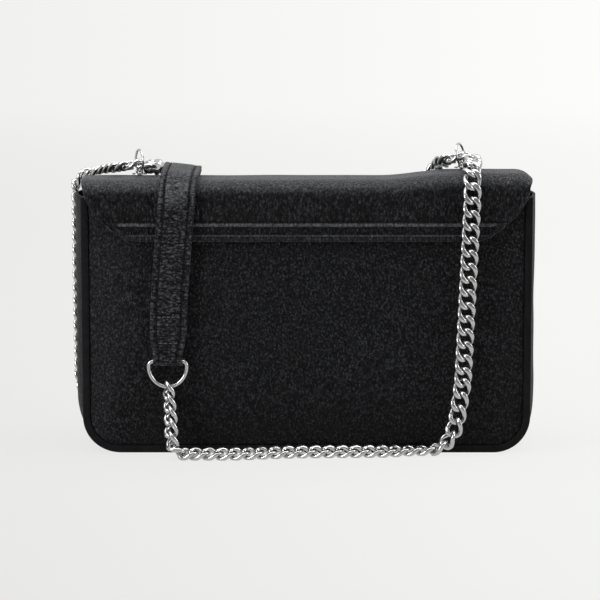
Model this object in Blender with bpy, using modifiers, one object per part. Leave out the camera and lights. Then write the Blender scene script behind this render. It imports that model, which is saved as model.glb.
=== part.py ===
"""A small structured flap handbag on a sliding curb chain, seen in the photo from behind.

Metres, +Z up. The origin is the middle of the base, on the surface that the bag stands on.
The back of the bag faces -Y, its front faces +Y, and +X is to the right in a view from behind.
"""

import math

import bmesh
import bpy
import numpy as np
from mathutils import Matrix, Vector

# Body of the bag
panel_width = 0.2435  # over the sewn rims
body_height = 0.1405
body_depth = 0.062  # over the rims, back to front
corner_radius = 0.020
rim_width = 0.004
rim_depth = 0.0034
rim_edge = 0.0007
panel_leather = 0.0018
panel_recess = 0.0007  # how far a panel lies behind the face of its rim
gusset_leather = 0.0016
gusset_bulge = 0.0032
board_thickness = 0.0012
lining_thickness = 0.0009
pocket_width = 0.110
pocket_height = 0.075
pocket_depth = 0.0026
pocket_welt = 0.003
pocket_drop = 0.022  # from the mouth of the bag to the mouth of the pocket

# Flap
flap_leather = 0.0015
flap_lining = 0.0009
flap_rise = 0.0097  # from the mouth of the body up to the crown
flap_overhang = 0.00205  # beyond the rims at each end
flap_back_radius = 0.0100
flap_front_radius = 0.009
flap_front_fall = 0.005  # how much lower the top is at its front edge
crown_share = 0.4  # how far from back to front the top stays level
tangent_run = 0.0008  # a short straight run on each side of the hinge line
flap_front_room = 0.0036  # between the front rim and the flap, for the snap
back_leg_length = 0.0228  # below the hinge line
front_leg_bottom = 0.058
flap_back_inset = 0.0038
back_corner_inset = 0.0250
front_corner_drop = 0.030
front_corner_inset = 0.026
flap_lift = 0.0035  # the soft rise of the top towards its right end
lift_run = 0.040
lift_gap = 0.005  # from the end of the rise to the right ring

# Magnetic snap
snap_rise = 0.020  # above the flap's front edge
socket_radius = 0.0085
socket_thickness = 0.0014
socket_bore = 0.0036
stud_radius = 0.0075
stud_thickness = 0.0012
stud_pin_radius = 0.0022
stud_pin_length = 0.0006
snap_plate_radius = 0.007
snap_plate_thickness = 0.0008

# Rings on the flap
ring_wire = 0.0013
ring_half_depth = 0.0076  # to the middle of the wire, along Y
ring_half_height = 0.0066
ring_y = 0.000
ring_left_inset = 0.0308  # from the end of the flap
ring_right_inset = 0.0388
ring_left_yaw = 13.0  # degrees about Z from facing along X
ring_right_yaw = -15.0
ring_left_lean = 0.0
ring_right_lean = -10.0  # degrees from upright, the top towards the left
ring_foot_radius = 0.0042
ring_foot_thickness = 0.0007
staple_wire = 0.0012
rivet_radius = 0.0012
ring_plate_radius = 0.0040
ring_plate_thickness = 0.0008

# Leather shoulder piece
strap_width = 0.020
strap_thickness = 0.0030
strap_arch = 0.0026  # how far it stands off the top of the flap
strap_gap = 0.0225  # from the left ring to where it crosses the hinge line
strap_top_lean = 0.0
strap_leg_lean = 0.0058
strap_end_height = 0.0478
strap_end_width = 0.0160
strap_taper = 0.016
strap_front_lean = 0.0060
fold_radius = 0.0029

# D-rings
d_ring_wire = 0.0022
d_ring_half_width = 0.0104
d_ring_corner = 0.0032
d_ring_drop = 0.0131
d_bar_rise = 0.0037  # from the end of the strap to the bar
hook_room = 0.0008  # above the front D-ring's wire, for the last link to turn as the flap opens

# Curb chain
link_pitch = 0.00815
link_half_width = 0.0039
link_wire = 0.0021
link_overlap = 0.00055  # how deep neighbours bite, which makes a stretch one body
link_flatten_share = 0.86
link_swell_share = 1.12  # a square section is swollen to look as thick as round wire
link_points = 8
chain_thickness = 0.0054
drop_step = 0.0020  # from the right ring to the top of the drop
drop_lean = 0.0032
drop_low_gap = 0.0078  # from the end of the strap down to the end of the free drop
drop_foot_lean = 0.0038
drop_foot = 0.0155
floor_run_near = 0.0445
riser_run = 0.0170
riser_lean = 0.0030
floor_bend = 0.011
swag_drop = 0.036
swag_inset = 0.010
chain_side_room = 0.0092  # beyond the end of the flap
chain_left_y = 0.034
chain_left_drop = 0.0077  # from the crown to where it hangs free
front_floor_y = 0.0455
front_turn = 0.014

# Clearances
fit = 0.0003
overrun = 0.004

# Levels and faces that follow from the sizes above
half_width = panel_width / 2
half_depth = body_depth / 2
panel_face = half_depth - panel_recess
panel_back = panel_face - panel_leather
board_back = panel_back - fit - board_thickness
lining_face = board_back - fit
gusset_half_depth = half_depth - rim_depth - fit
flap_thickness = flap_leather + fit + flap_lining
flap_top = body_height + flap_rise
hinge_height = flap_top - flap_back_radius - tangent_run
back_leg_bottom = hinge_height - back_leg_length
flap_half_width = half_width + flap_overhang
flap_back_half_width = flap_half_width - flap_back_inset
back_leg_half_width = flap_back_half_width - back_corner_inset
snap_height = front_leg_bottom + snap_rise
ring_left_x = ring_left_inset - flap_half_width
ring_right_x = flap_half_width - ring_right_inset
lift_end = ring_right_x - lift_gap
lift_start = lift_end - lift_run
strap_x = ring_left_x + strap_gap
flap_back_y = -(half_depth + fit + flap_thickness)
flap_front_y = half_depth + flap_front_room + flap_thickness
strap_back_y = flap_back_y - fit - strap_thickness / 2
strap_front_y = flap_front_y + fit + strap_thickness / 2
chain_back_y = flap_back_y - fit - chain_thickness / 2
hinge_y = chain_back_y - chain_thickness / 2 - fit
swag_y = strap_front_y + strap_thickness / 2 + fit + chain_thickness / 2
strap_front_top = flap_top - flap_front_fall - flap_front_radius
strap_front_x = strap_x + strap_top_lean + strap_front_lean
strap_foot_x = strap_x - strap_leg_lean
d_bar_height = strap_end_height + d_bar_rise
d_ring_bottom = d_bar_height - d_ring_drop
drop_top_x = ring_right_x + drop_step
drop_low_x = drop_top_x - drop_lean
drop_foot_x = drop_low_x - drop_foot_lean
drop_low = strap_end_height - drop_low_gap
riser_foot_x = strap_foot_x + riser_lean
floor_run_left_x = riser_foot_x + riser_run
chain_left_x = -(flap_half_width + chain_side_room)
chain_left_top = flap_top - chain_left_drop


def clear_scene():
    for obj in list(bpy.data.objects):
        bpy.data.objects.remove(obj, do_unlink=True)


def collection(name, hidden=False):
    made = bpy.data.collections.new(name)
    bpy.context.scene.collection.children.link(made)
    made.hide_render = hidden
    return made


clear_scene()
PARTS = collection("flap_handbag")
CUTTERS = collection("cutters", hidden=True)


def material(name, colour, roughness, metallic=0.0):
    made = bpy.data.materials.new(name)
    made.use_nodes = True
    shader = made.node_tree.nodes["Principled BSDF"]
    shader.inputs["Base Color"].default_value = (*colour, 1.0)
    shader.inputs["Roughness"].default_value = roughness
    shader.inputs["Metallic"].default_value = metallic
    made.diffuse_color = (*colour, 1.0)
    return made


BLACK_LEATHER = (0.012, 0.012, 0.014)
BLACK_CLOTH = (0.020, 0.020, 0.022)
GREY_BOARD = (0.30, 0.29, 0.27)
NICKEL = (0.78, 0.77, 0.75)
STEEL = (0.55, 0.55, 0.56)


def finish_as(obj, colour, roughness, metallic=0.0):
    """Gives the piece its own material and puts it among the parts."""
    obj.data.materials.clear()
    obj.data.materials.append(material(obj.name, colour, roughness, metallic))
    if obj.name not in PARTS.objects:
        PARTS.objects.link(obj)
    return obj


def leather(obj):
    return finish_as(obj, BLACK_LEATHER, 0.45)


def cloth(obj):
    return finish_as(obj, BLACK_CLOTH, 0.85)


def nickel(obj):
    for face in obj.data.polygons:
        face.use_smooth = True
    return finish_as(obj, NICKEL, 0.16, 1.0)


def steel(obj):
    return finish_as(obj, STEEL, 0.35, 1.0)


# Shape helpers

TO_XZ = Matrix(((1, 0, 0, 0), (0, 0, -1, 0), (0, 1, 0, 0), (0, 0, 0, 1)))


def mesh_from_curve(name, curve, placed=None):
    """The solid of a curve as a mesh object, with its caps welded to its sides."""
    guide = bpy.data.objects.new(name + "_curve", curve)
    CUTTERS.objects.link(guide)
    bpy.context.view_layer.update()
    graph = bpy.context.evaluated_depsgraph_get()
    mesh = bpy.data.meshes.new_from_object(guide.evaluated_get(graph))
    bpy.data.objects.remove(guide, do_unlink=True)
    shape = bmesh.new()
    shape.from_mesh(mesh)
    bmesh.ops.remove_doubles(shape, verts=shape.verts, dist=fit / 1000)
    if placed is not None:
        bmesh.ops.transform(shape, matrix=placed, verts=shape.verts)
    bmesh.ops.recalc_face_normals(shape, faces=shape.faces)
    shape.to_mesh(mesh)
    shape.free()
    mesh.name = name
    return bpy.data.objects.new(name, mesh)


def outline_solid(name, points, thickness, plane=TO_XZ, edge=0.0):
    """A flat outline of the given thickness, centred on its plane, with a small chamfer."""
    curve = bpy.data.curves.new(name, "CURVE")
    curve.dimensions = "2D"
    curve.fill_mode = "BOTH"
    curve.extrude = thickness / 2 - edge
    curve.bevel_depth = edge
    curve.bevel_resolution = 0
    curve.offset = -edge
    spline = curve.splines.new("POLY")
    spline.points.add(len(points) - 1)
    for point, (u, v) in zip(spline.points, points):
        point.co = (u, v, 0, 1)
    spline.use_cyclic_u = True
    return mesh_from_curve(name, curve, plane)


def tube(name, rows, wire, cyclic=False, resolution=1):
    """Wire of one diameter along one or more polylines."""
    curve = bpy.data.curves.new(name, "CURVE")
    curve.dimensions = "3D"
    curve.bevel_depth = wire / 2
    curve.bevel_resolution = resolution
    curve.use_fill_caps = True
    for row in rows:
        spline = curve.splines.new("POLY")
        spline.points.add(len(row) - 1)
        for point, place in zip(spline.points, row):
            point.co = (*place, 1)
        spline.use_cyclic_u = cyclic
    return mesh_from_curve(name, curve)


def box(name, low, high):
    shape = bmesh.new()
    bmesh.ops.create_cube(shape, size=1)
    for vert in shape.verts:
        vert.co = [lo + (share + 0.5) * (hi - lo) for lo, hi, share in zip(low, high, vert.co)]
    mesh = bpy.data.meshes.new(name)
    shape.to_mesh(mesh)
    shape.free()
    return bpy.data.objects.new(name, mesh)


def cylinder(name, radius, length, centre, axis, sides=20):
    """A cylinder along X, Y or Z."""
    shape = bmesh.new()
    bmesh.ops.create_cone(
        shape, cap_ends=True, segments=sides, radius1=radius, radius2=radius, depth=length
    )
    turn = Vector((0, 0, 1)).rotation_difference(Vector(axis)).to_matrix().to_4x4()
    bmesh.ops.transform(shape, matrix=Matrix.Translation(centre) @ turn, verts=shape.verts)
    mesh = bpy.data.meshes.new(name)
    shape.to_mesh(mesh)
    shape.free()
    return bpy.data.objects.new(name, mesh)


def turned(name, profile, sides, placed):
    """A profile of (radius, height) points, from the outer side's top downwards, turned about Z."""
    mesh = bpy.data.meshes.new(name)
    closed = [(r, 0, h) for r, h in profile]
    links = [(i, i + 1) for i in range(len(closed) - 1)] + [(len(closed) - 1, 0)]
    mesh.from_pydata(closed, links, [])
    obj = bpy.data.objects.new(name, mesh)
    CUTTERS.objects.link(obj)
    screw = obj.modifiers.new("turn", "SCREW")
    screw.steps = sides
    screw.render_steps = sides
    screw.use_merge_vertices = True
    screw.merge_threshold = fit / 10
    bpy.context.view_layer.update()
    graph = bpy.context.evaluated_depsgraph_get()
    made = bpy.data.meshes.new_from_object(obj.evaluated_get(graph))
    bpy.data.objects.remove(obj, do_unlink=True)
    shape = bmesh.new()
    shape.from_mesh(made)
    bmesh.ops.remove_doubles(shape, verts=shape.verts, dist=fit / 100)
    bmesh.ops.transform(shape, matrix=placed, verts=shape.verts)
    bmesh.ops.recalc_face_normals(shape, faces=shape.faces)
    shape.to_mesh(made)
    shape.free()
    return bpy.data.objects.new(name, made)


def joined(obj, other, operation):
    """The Boolean of two meshes, applied at once."""
    for each in (obj, other):
        if not each.users_collection:
            CUTTERS.objects.link(each)
    step = obj.modifiers.new(operation.lower(), "BOOLEAN")
    step.operation = operation
    step.object = other
    step.solver = "EXACT"
    bpy.context.view_layer.update()
    graph = bpy.context.evaluated_depsgraph_get()
    made = bpy.data.meshes.new_from_object(obj.evaluated_get(graph))
    name = obj.name
    bpy.data.objects.remove(obj, do_unlink=True)
    bpy.data.objects.remove(other, do_unlink=True)
    made.name = name
    return bpy.data.objects.new(name, made)


def cut(obj, other):
    return joined(obj, other, "DIFFERENCE")


def fused(obj, other):
    return joined(obj, other, "UNION")


def moved_origin(obj, origin):
    """Puts a piece's origin on the axis that it turns about, and leaves the piece where it is."""
    obj.data.transform(Matrix.Translation(-Vector(origin)))
    obj.location = origin
    return obj


def smooth_step(share):
    share = min(max(share, 0.0), 1.0)
    return share * share * (3 - 2 * share)


# Body of the bag

arc_steps = 6


def u_outline(half, bottom, top, radius):
    """From the top left down, round two bottom corners and up to the top right, in X and Z."""
    points = [(-half, top)]
    for side, start in ((-1, math.pi), (1, 1.5 * math.pi)):
        centre = (side * (half - radius), bottom + radius)
        for step in range(arc_steps + 1):
            angle = start + step * math.pi / 2 / arc_steps
            points.append(
                (centre[0] + radius * math.cos(angle), centre[1] + radius * math.sin(angle))
            )
    points.append((half, top))
    return points


def along_y(obj, y):
    obj.data.transform(Matrix.Translation((0, y, 0)))
    return obj


def make_rim(name, side):
    """The turned and sewn seam edge round a panel, open at the mouth."""
    outer = u_outline(half_width, 0, body_height, corner_radius)
    inner = u_outline(
        half_width - rim_width, rim_width, body_height, corner_radius - rim_width
    )
    rim = outline_solid(name, outer + inner[::-1], rim_depth, edge=rim_edge)
    return leather(along_y(rim, side * (half_depth - rim_depth / 2)))


def make_panel(name, side):
    inset = rim_width + fit
    points = u_outline(half_width - inset, inset, body_height, corner_radius - inset)
    panel = outline_solid(name, points, panel_leather)
    return leather(along_y(panel, side * (panel_face - panel_leather / 2)))


def make_gusset():
    """One strip up both sides and under the base, bulging softly at the sides."""
    path = u_outline(half_width, 0, body_height, corner_radius)
    left_side = thirds(path[0], path[1])
    right_side = thirds(path[-2], path[-1])
    path = [path[0], *left_side, *path[1:-1], *right_side, path[-1]]
    across = 4
    shape = bmesh.new()
    grid = [[None] * (across + 1) for _ in path]
    bmesh.ops.create_grid(shape, x_segments=len(path) - 1, y_segments=across, size=0.5)
    for vert in shape.verts:
        i = round((vert.co.x + 0.5) * (len(path) - 1))
        j = round((vert.co.y + 0.5) * across)
        grid[i][j] = vert
    for i, (x, z) in enumerate(path):
        for j in range(across + 1):
            share = 2 * j / across - 1
            out = gusset_bulge * (1 - share * share) * smooth_step(z / corner_radius)
            grid[i][j].co = (x + math.copysign(out, x), share * gusset_half_depth, z)
    bmesh.ops.recalc_face_normals(shape, faces=shape.faces)
    shape.normal_update()
    faces_out = grid[0][0].normal.x < 0
    mesh = bpy.data.meshes.new("gusset")
    shape.to_mesh(mesh)
    shape.free()
    obj = bpy.data.objects.new("gusset", mesh)
    wall = obj.modifiers.new("leather", "SOLIDIFY")
    wall.thickness = gusset_leather
    wall.offset = -1 if faces_out else 1
    wall.use_even_offset = True
    return leather(obj)


def thirds(first, last):
    """Two points that split a straight run in three."""
    (x0, z0), (x1, z1) = first, last
    return [(x0 + (x1 - x0) * n / 3, z0 + (z1 - z0) * n / 3) for n in (1, 2)]


def make_boards():
    inset = rim_width + 2 * fit
    for name, side in (("back_board", -1), ("front_board", 1)):
        points = u_outline(
            half_width - inset, inset + board_thickness, body_height - inset, corner_radius - inset
        )
        board = outline_solid(name, points, board_thickness)
        if side > 0:
            room = cylinder(
                "plate_room",
                snap_plate_radius + fit,
                overrun,
                (0, 0, snap_height),
                (0, 1, 0),
            )
            board = cut(board, room)
        finish_as(along_y(board, side * (board_back + board_thickness / 2)), GREY_BOARD, 0.9)
    half = half_width - corner_radius
    low = gusset_leather + fit
    base = box(
        "base_board",
        (-half, -(board_back - fit), low),
        (half, board_back - fit, low + board_thickness),
    )
    finish_as(base, GREY_BOARD, 0.9)


def make_lining():
    """An open pouch that fits between the boards and inside the gusset."""
    half = half_width - gusset_leather - fit
    low = gusset_leather + board_thickness + 2 * fit
    top = body_height - rim_width / 2
    pouch = outline_solid(
        "lining", u_outline(half, low, top, corner_radius - gusset_leather), 2 * lining_face
    )
    inner = u_outline(
        half - lining_thickness,
        low + lining_thickness,
        top + overrun,
        corner_radius - gusset_leather - lining_thickness,
    )
    room = outline_solid("lining_room", inner, 2 * (lining_face - lining_thickness))
    return cloth(cut(pouch, room))


def make_pocket():
    """A flat slip pocket sewn on three sides to the back wall of the lining."""
    back = -(lining_face - lining_thickness - fit)
    top = body_height - pocket_drop
    half = pocket_width / 2
    patch = box(
        "slip_pocket", (-half, back, top - pocket_height), (half, back + pocket_depth, top)
    )
    room = box(
        "pocket_room",
        (-half + pocket_welt, back - overrun, top - pocket_height + pocket_welt),
        (half - pocket_welt, back + pocket_depth - lining_thickness, top + overrun),
    )
    return cloth(cut(patch, room))


# Flap: one profile in Y and Z, from the bottom of its back leg over the top to its front edge


def flap_rows():
    """Rows of (y, z, half width) along the outer face, from the bottom of the back leg forwards."""
    rows = []
    leg = hinge_height - back_leg_bottom
    for share in (0.0, 0.08, 0.25, 0.5, 0.75, 1.0):
        round_share = math.sqrt(max(0.0, 1 - (1 - share) ** 2))
        half = back_leg_half_width + (flap_back_half_width - back_leg_half_width) * round_share
        rows.append((flap_back_y, back_leg_bottom + leg * share, half))
    rows.append((flap_back_y, hinge_height + tangent_run, flap_back_half_width))
    spring = flap_top - flap_back_radius
    steps = 6
    rise = flap_half_width - flap_back_half_width
    for step in range(1, steps + 1):
        angle = math.pi / 2 * step / steps
        rows.append(
            (
                flap_back_y + flap_back_radius * (1 - math.cos(angle)),
                spring + flap_back_radius * math.sin(angle),
                flap_back_half_width + rise * smooth_step(step / steps),
            )
        )
    start = flap_back_y + flap_back_radius
    end = flap_front_y - flap_front_radius
    for share in (crown_share, 0.6, 0.8, 1.0):
        fall = flap_front_fall * ((share - crown_share) / (1 - crown_share)) ** 2
        rows.append((start + (end - start) * share, flap_top - fall, flap_half_width))
    brow = flap_top - flap_front_fall - flap_front_radius
    for step in range(1, 6):
        angle = math.pi / 2 * (1 - step / 5)
        rows.append(
            (
                end + flap_front_radius * math.cos(angle),
                brow + flap_front_radius * math.sin(angle),
                flap_half_width,
            )
        )
    rows.append((flap_front_y, brow - tangent_run, flap_half_width))
    corner = front_leg_bottom + front_corner_drop
    rows.append((flap_front_y, corner, flap_half_width))
    for share in (0.5, 0.8, 0.95, 1.0):
        half = flap_half_width - front_corner_inset * (1 - math.sqrt(1 - share**2))
        rows.append((flap_front_y, corner - front_corner_drop * share, half))
    return rows


back_leg_rows = 6


def lifted(x, z):
    """The height of a point on the flap, with the soft rise towards its right end."""
    above = smooth_step((z - hinge_height) / (flap_back_radius / 2))
    return z + flap_lift * above * smooth_step((x - lift_start) / (lift_end - lift_start))


def sheet(name, rows, across, depth, thickness, lift=True):
    """A leather sheet over rows of (y, z, half width), its outer face sunk by depth."""
    shape = bmesh.new()
    bmesh.ops.create_grid(shape, x_segments=len(rows) - 1, y_segments=across, size=0.5)
    places = np.array([(y, z) for y, z, _ in rows])
    along = np.gradient(places, axis=0)
    along /= np.linalg.norm(along, axis=1)[:, None]
    outward = np.stack([-along[:, 1], along[:, 0]], axis=1)
    for vert in shape.verts:
        i = round((vert.co.x + 0.5) * (len(rows) - 1))
        share = vert.co.y * 2
        y, z = places[i] - outward[i] * depth
        x = share * rows[i][2]
        vert.co = (x, y, lifted(x, z) if lift else z)
        if i == 0:
            first = vert
    bmesh.ops.recalc_face_normals(shape, faces=shape.faces)
    shape.normal_update()
    faces_out = first.normal.dot(Vector((0, *outward[0]))) > 0
    mesh = bpy.data.meshes.new(name)
    shape.to_mesh(mesh)
    shape.free()
    obj = bpy.data.objects.new(name, mesh)
    wall = obj.modifiers.new("thickness", "SOLIDIFY")
    wall.thickness = thickness
    wall.offset = -1 if faces_out else 1
    wall.use_even_offset = True
    return obj


def top_height(x, y):
    """The height of the flap's outer face at a place on its top."""
    rows = flap_rows()[back_leg_rows - 1 :]
    places = [(row[0], row[1]) for row in rows if row[1] > flap_top - 2 * flap_back_radius]
    height = np.interp(y, [p[0] for p in places], [p[1] for p in places])
    return lifted(x, float(height))


def make_flap():
    rows = flap_rows()
    leg = rows[:back_leg_rows]
    leg[-1] = (leg[-1][0], leg[-1][1] - fit / 2, leg[-1][2])
    leather(sheet("flap_back_leg", leg, 4, 0, flap_thickness, lift=False))
    over = rows[back_leg_rows - 1 :]
    over[0] = (over[0][0], over[0][1] + fit / 2, over[0][2])
    outer = sheet("flap_leather", over, 6, 0, flap_leather)
    inner = [(y, z, half - rim_width) for y, z, half in over[:-1]]
    under = sheet("flap_lining", inner, 6, flap_leather + fit, flap_lining)
    return outer, under


# Rings: each stands in a staple on a riveted foot


def ring_seat(x):
    return top_height(x, ring_y)


def ring_axis_height(x):
    """The height of the middle of a ring's lowest wire, about which it swings."""
    return ring_seat(x) + 2 * fit + ring_foot_thickness + ring_wire / 2


def ring_chain_height(x):
    """The height of a chain that passes through a ring just above its staple."""
    staple_top = ring_axis_height(x) + ring_wire / 2 + fit + staple_wire
    return staple_top + fit + chain_thickness / 2


def lying_height(x, y):
    """The height of a chain that lies on the top of the flap."""
    return top_height(x, y) + 2 * fit + chain_thickness / 2


def ring_place(x, yaw, lean):
    """From a ring's own frame, with the middle of its lowest wire at zero, to its staple."""
    turn = Matrix.Rotation(math.radians(yaw), 4, "Z") @ Matrix.Rotation(math.radians(lean), 4, "Y")
    return Matrix.Translation((x, ring_y, ring_axis_height(x))) @ turn


def make_ring(name, x, yaw, lean):
    placed = ring_place(x, yaw, lean)
    steps = 20
    points = [
        placed
        @ Vector(
            (
                0,
                ring_half_depth * math.sin(2 * math.pi * step / steps),
                ring_half_height * (1 - math.cos(2 * math.pi * step / steps)),
            )
        )
        for step in range(steps)
    ]
    ring = tube(name, [points], ring_wire, cyclic=True)
    return nickel(moved_origin(ring, (x, ring_y, ring_axis_height(x))))


def make_ring_base(name, x, yaw):
    """A round foot on the leather, its rivet, and the staple that the ring hangs in."""
    seat = ring_seat(x) + fit
    foot = cylinder(
        name,
        ring_foot_radius,
        ring_foot_thickness,
        (x, ring_y, seat + ring_foot_thickness / 2),
        (0, 0, 1),
    )
    rivet_length = flap_thickness + 2 * fit + ring_foot_thickness / 2
    rivet = cylinder(
        name + "_rivet",
        rivet_radius,
        rivet_length,
        (x, ring_y, seat + ring_foot_thickness / 2 - rivet_length / 2),
        (0, 0, 1),
        sides=10,
    )
    radius = ring_wire / 2 + fit + staple_wire / 2
    low = seat + ring_foot_thickness / 3 - ring_axis_height(x)
    arch = [(-radius, 0, low)]
    for step in range(7):
        angle = math.pi * (1 - step / 6)
        arch.append((radius * math.cos(angle), 0, radius * math.sin(angle)))
    arch.append((radius, 0, low))
    placed = ring_place(x, yaw, 0)
    staple = tube(name + "_staple", [[placed @ Vector(point) for point in arch]], staple_wire)
    return nickel(fused(fused(foot, rivet), staple))


def ring_plate_height(x):
    return ring_seat(x) - flap_thickness - fit - ring_plate_thickness / 2


def make_ring_plate(name, x):
    """The washer under the flap's lining, on the end of the rivet."""
    plate = cylinder(
        name,
        ring_plate_radius,
        ring_plate_thickness,
        (x, ring_y, ring_plate_height(x)),
        (0, 0, 1),
        sides=16,
    )
    return steel(plate)


def rivet_hole(name, x):
    return cylinder(
        name, rivet_radius + fit, 2 * overrun, (x, ring_y, ring_seat(x)), (0, 0, 1), sides=10
    )


# Magnetic snap


def make_snap():
    to_front = Matrix.Rotation(-math.pi / 2, 4, "X")
    face = panel_face + fit
    socket = turned(
        "snap_socket",
        [
            (socket_radius, socket_thickness - rim_edge),
            (socket_radius, 0),
            (socket_bore, 0),
            (socket_bore, socket_thickness),
            (socket_radius - rim_edge, socket_thickness),
        ],
        24,
        Matrix.Translation((0, face, snap_height)) @ to_front,
    )
    nickel(socket)
    plate = cylinder(
        "snap_socket_plate",
        snap_plate_radius,
        snap_plate_thickness,
        (0, panel_back - fit - snap_plate_thickness / 2, snap_height),
        (0, 1, 0),
    )
    steel(plate)
    inside = flap_front_y - flap_thickness - fit
    stud = cylinder(
        "snap_stud",
        stud_radius,
        stud_thickness,
        (0, inside - stud_thickness / 2, snap_height),
        (0, 1, 0),
        sides=24,
    )
    pin = cylinder(
        "snap_stud_pin",
        stud_pin_radius,
        2 * stud_pin_length,
        (0, inside - stud_thickness, snap_height),
        (0, 1, 0),
        sides=12,
    )
    nickel(moved_origin(fused(stud, pin), (0, hinge_y, hinge_height)))


# Leather shoulder piece


def strap_rows():
    """Rows of the strap's outer face over the top of the flap, from the hinge line forwards."""
    lift = fit + strap_thickness
    rows = []
    base = flap_rows()[back_leg_rows - 1 :]
    places = np.array([(y, z) for y, z, _ in base])
    along = np.gradient(places, axis=0)
    along /= np.linalg.norm(along, axis=1)[:, None]
    outward = np.stack([-along[:, 1], along[:, 0]], axis=1)
    for (y, z, _), out in zip(base, outward):
        if z < strap_front_top - tangent_run and y > 0:
            break
        arch = strap_arch * max(0.0, out[1]) ** 2
        y2, z2 = np.array((y, z)) + out * (lift + arch)
        rows.append((float(y2), float(z2), strap_width / 2))
    rows[0] = (rows[0][0], hinge_height + fit / 2, strap_width / 2)
    return rows


def strap_leg(name, y, x_top, top, lean, origin):
    """A straight leg of the strap, tapered to a folded end that holds the D-ring's bar."""
    half = strap_width / 2
    end_half = strap_end_width / 2
    low = strap_end_height + fold_radius
    length = top - low
    outline = [
        (-half, top),
        (-half, low + strap_taper),
        (-end_half, low + strap_taper / 3),
        (-end_half, low),
        (end_half, low),
        (end_half, low + strap_taper / 3),
        (half, low + strap_taper),
        (half, top),
    ]
    outline = [
        (x_top + u - lean * (top - v) / length if v < top else x_top + u, v) for u, v in outline
    ]
    leg = along_y(outline_solid(name, outline, strap_thickness), y)
    end_x = x_top - lean
    fold = cylinder(
        name + "_fold",
        fold_radius,
        strap_end_width - 2 * fit,
        (end_x, y, d_bar_height),
        (1, 0, 0),
        sides=16,
    )
    bore = cylinder(
        name + "_bore",
        d_ring_wire / 2 + fit,
        strap_end_width + 2 * overrun,
        (end_x, y, d_bar_height),
        (1, 0, 0),
        sides=16,
    )
    return leather(moved_origin(cut(fused(leg, fold), bore), origin))


def make_d_ring(name, x, y, origin):
    """A wire D: a straight bar in the strap's fold, round corners and a bowed lower side."""
    top = d_bar_height
    depth = d_ring_drop
    half = d_ring_half_width
    corner = d_ring_corner
    points = [(x - half / 2, y, top), (x + half / 2, y, top)]
    for step in range(4):
        angle = math.pi / 2 - step * math.pi / 2 / 3
        points.append(
            (
                x + half - corner + corner * math.cos(angle),
                y,
                top - corner + corner * math.sin(angle),
            )
        )
    bow = depth - corner
    for step in range(1, 12):
        angle = -math.pi * step / 12
        points.append((x + half * math.cos(angle), y, top - corner + bow * math.sin(angle)))
    for step in range(4):
        angle = math.pi - step * math.pi / 2 / 3
        points.append(
            (
                x - half + corner + corner * math.cos(angle),
                y,
                top - corner + corner * math.sin(angle),
            )
        )
    return nickel(moved_origin(tube(name, [points], d_ring_wire, cyclic=True), origin))


# Curb chain: oval links, each turned a quarter about its length, so that the chain lies flat


def smooth_route(route, per_span=24):
    """A dense curve through the route's (place, flat direction) points."""
    places = np.array([place for place, _ in route], float)
    flats = np.array([flat for _, flat in route], float)
    ends = (2 * places[0] - places[1], 2 * places[-1] - places[-2])
    padded = np.vstack([ends[0], places, ends[1]])
    dense, facing = [], []
    for i in range(len(places) - 1):
        p0, p1, p2, p3 = padded[i : i + 4]
        knots = np.cumsum(
            [0.0] + [np.linalg.norm(b - a) ** 0.5 for a, b in ((p0, p1), (p1, p2), (p2, p3))]
        )
        for step in range(per_span):
            t = knots[1] + (knots[2] - knots[1]) * step / per_span
            dense.append(catmull_point((p0, p1, p2, p3), knots, t))
            share = step / per_span
            facing.append(flats[i] * (1 - share) + flats[i + 1] * share)
    dense.append(places[-1])
    facing.append(flats[-1])
    return np.array(dense), np.array(facing)


def catmull_point(points, knots, t):
    """The point at t of the centripetal curve through the two middle points."""
    p0, p1, p2, p3 = points
    k0, k1, k2, k3 = knots
    a1 = (k1 - t) / (k1 - k0) * p0 + (t - k0) / (k1 - k0) * p1
    a2 = (k2 - t) / (k2 - k1) * p1 + (t - k1) / (k2 - k1) * p2
    a3 = (k3 - t) / (k3 - k2) * p2 + (t - k2) / (k3 - k2) * p3
    b1 = (k2 - t) / (k2 - k0) * a1 + (t - k0) / (k2 - k0) * a2
    b2 = (k3 - t) / (k3 - k1) * a2 + (t - k1) / (k3 - k1) * a3
    return (k2 - t) / (k2 - k1) * b1 + (t - k1) / (k2 - k1) * b2


def link_joints(route, start_step, end_step):
    """Points where neighbouring links meet, evenly along the route, and the way each faces."""
    dense, facing = smooth_route(route)
    lengths = np.concatenate([[0], np.cumsum(np.linalg.norm(np.diff(dense, axis=0), axis=1))])
    first = start_step
    last = lengths[-1] - end_step
    count = max(2, round((last - first) / link_pitch))
    marks = np.linspace(first, last, count + 1)
    inside = np.clip(marks, 0, lengths[-1])
    joints = np.stack([np.interp(inside, lengths, dense[:, k]) for k in range(3)], axis=1)
    joints[0] += (dense[1] - dense[0]) / np.linalg.norm(dense[1] - dense[0]) * min(0, first)
    over = last - lengths[-1]
    joints[-1] += (dense[-1] - dense[-2]) / np.linalg.norm(dense[-1] - dense[-2]) * max(0, over)
    flats = np.stack([np.interp(inside, lengths, facing[:, k]) for k in range(3)], axis=1)
    return joints, flats


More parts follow.
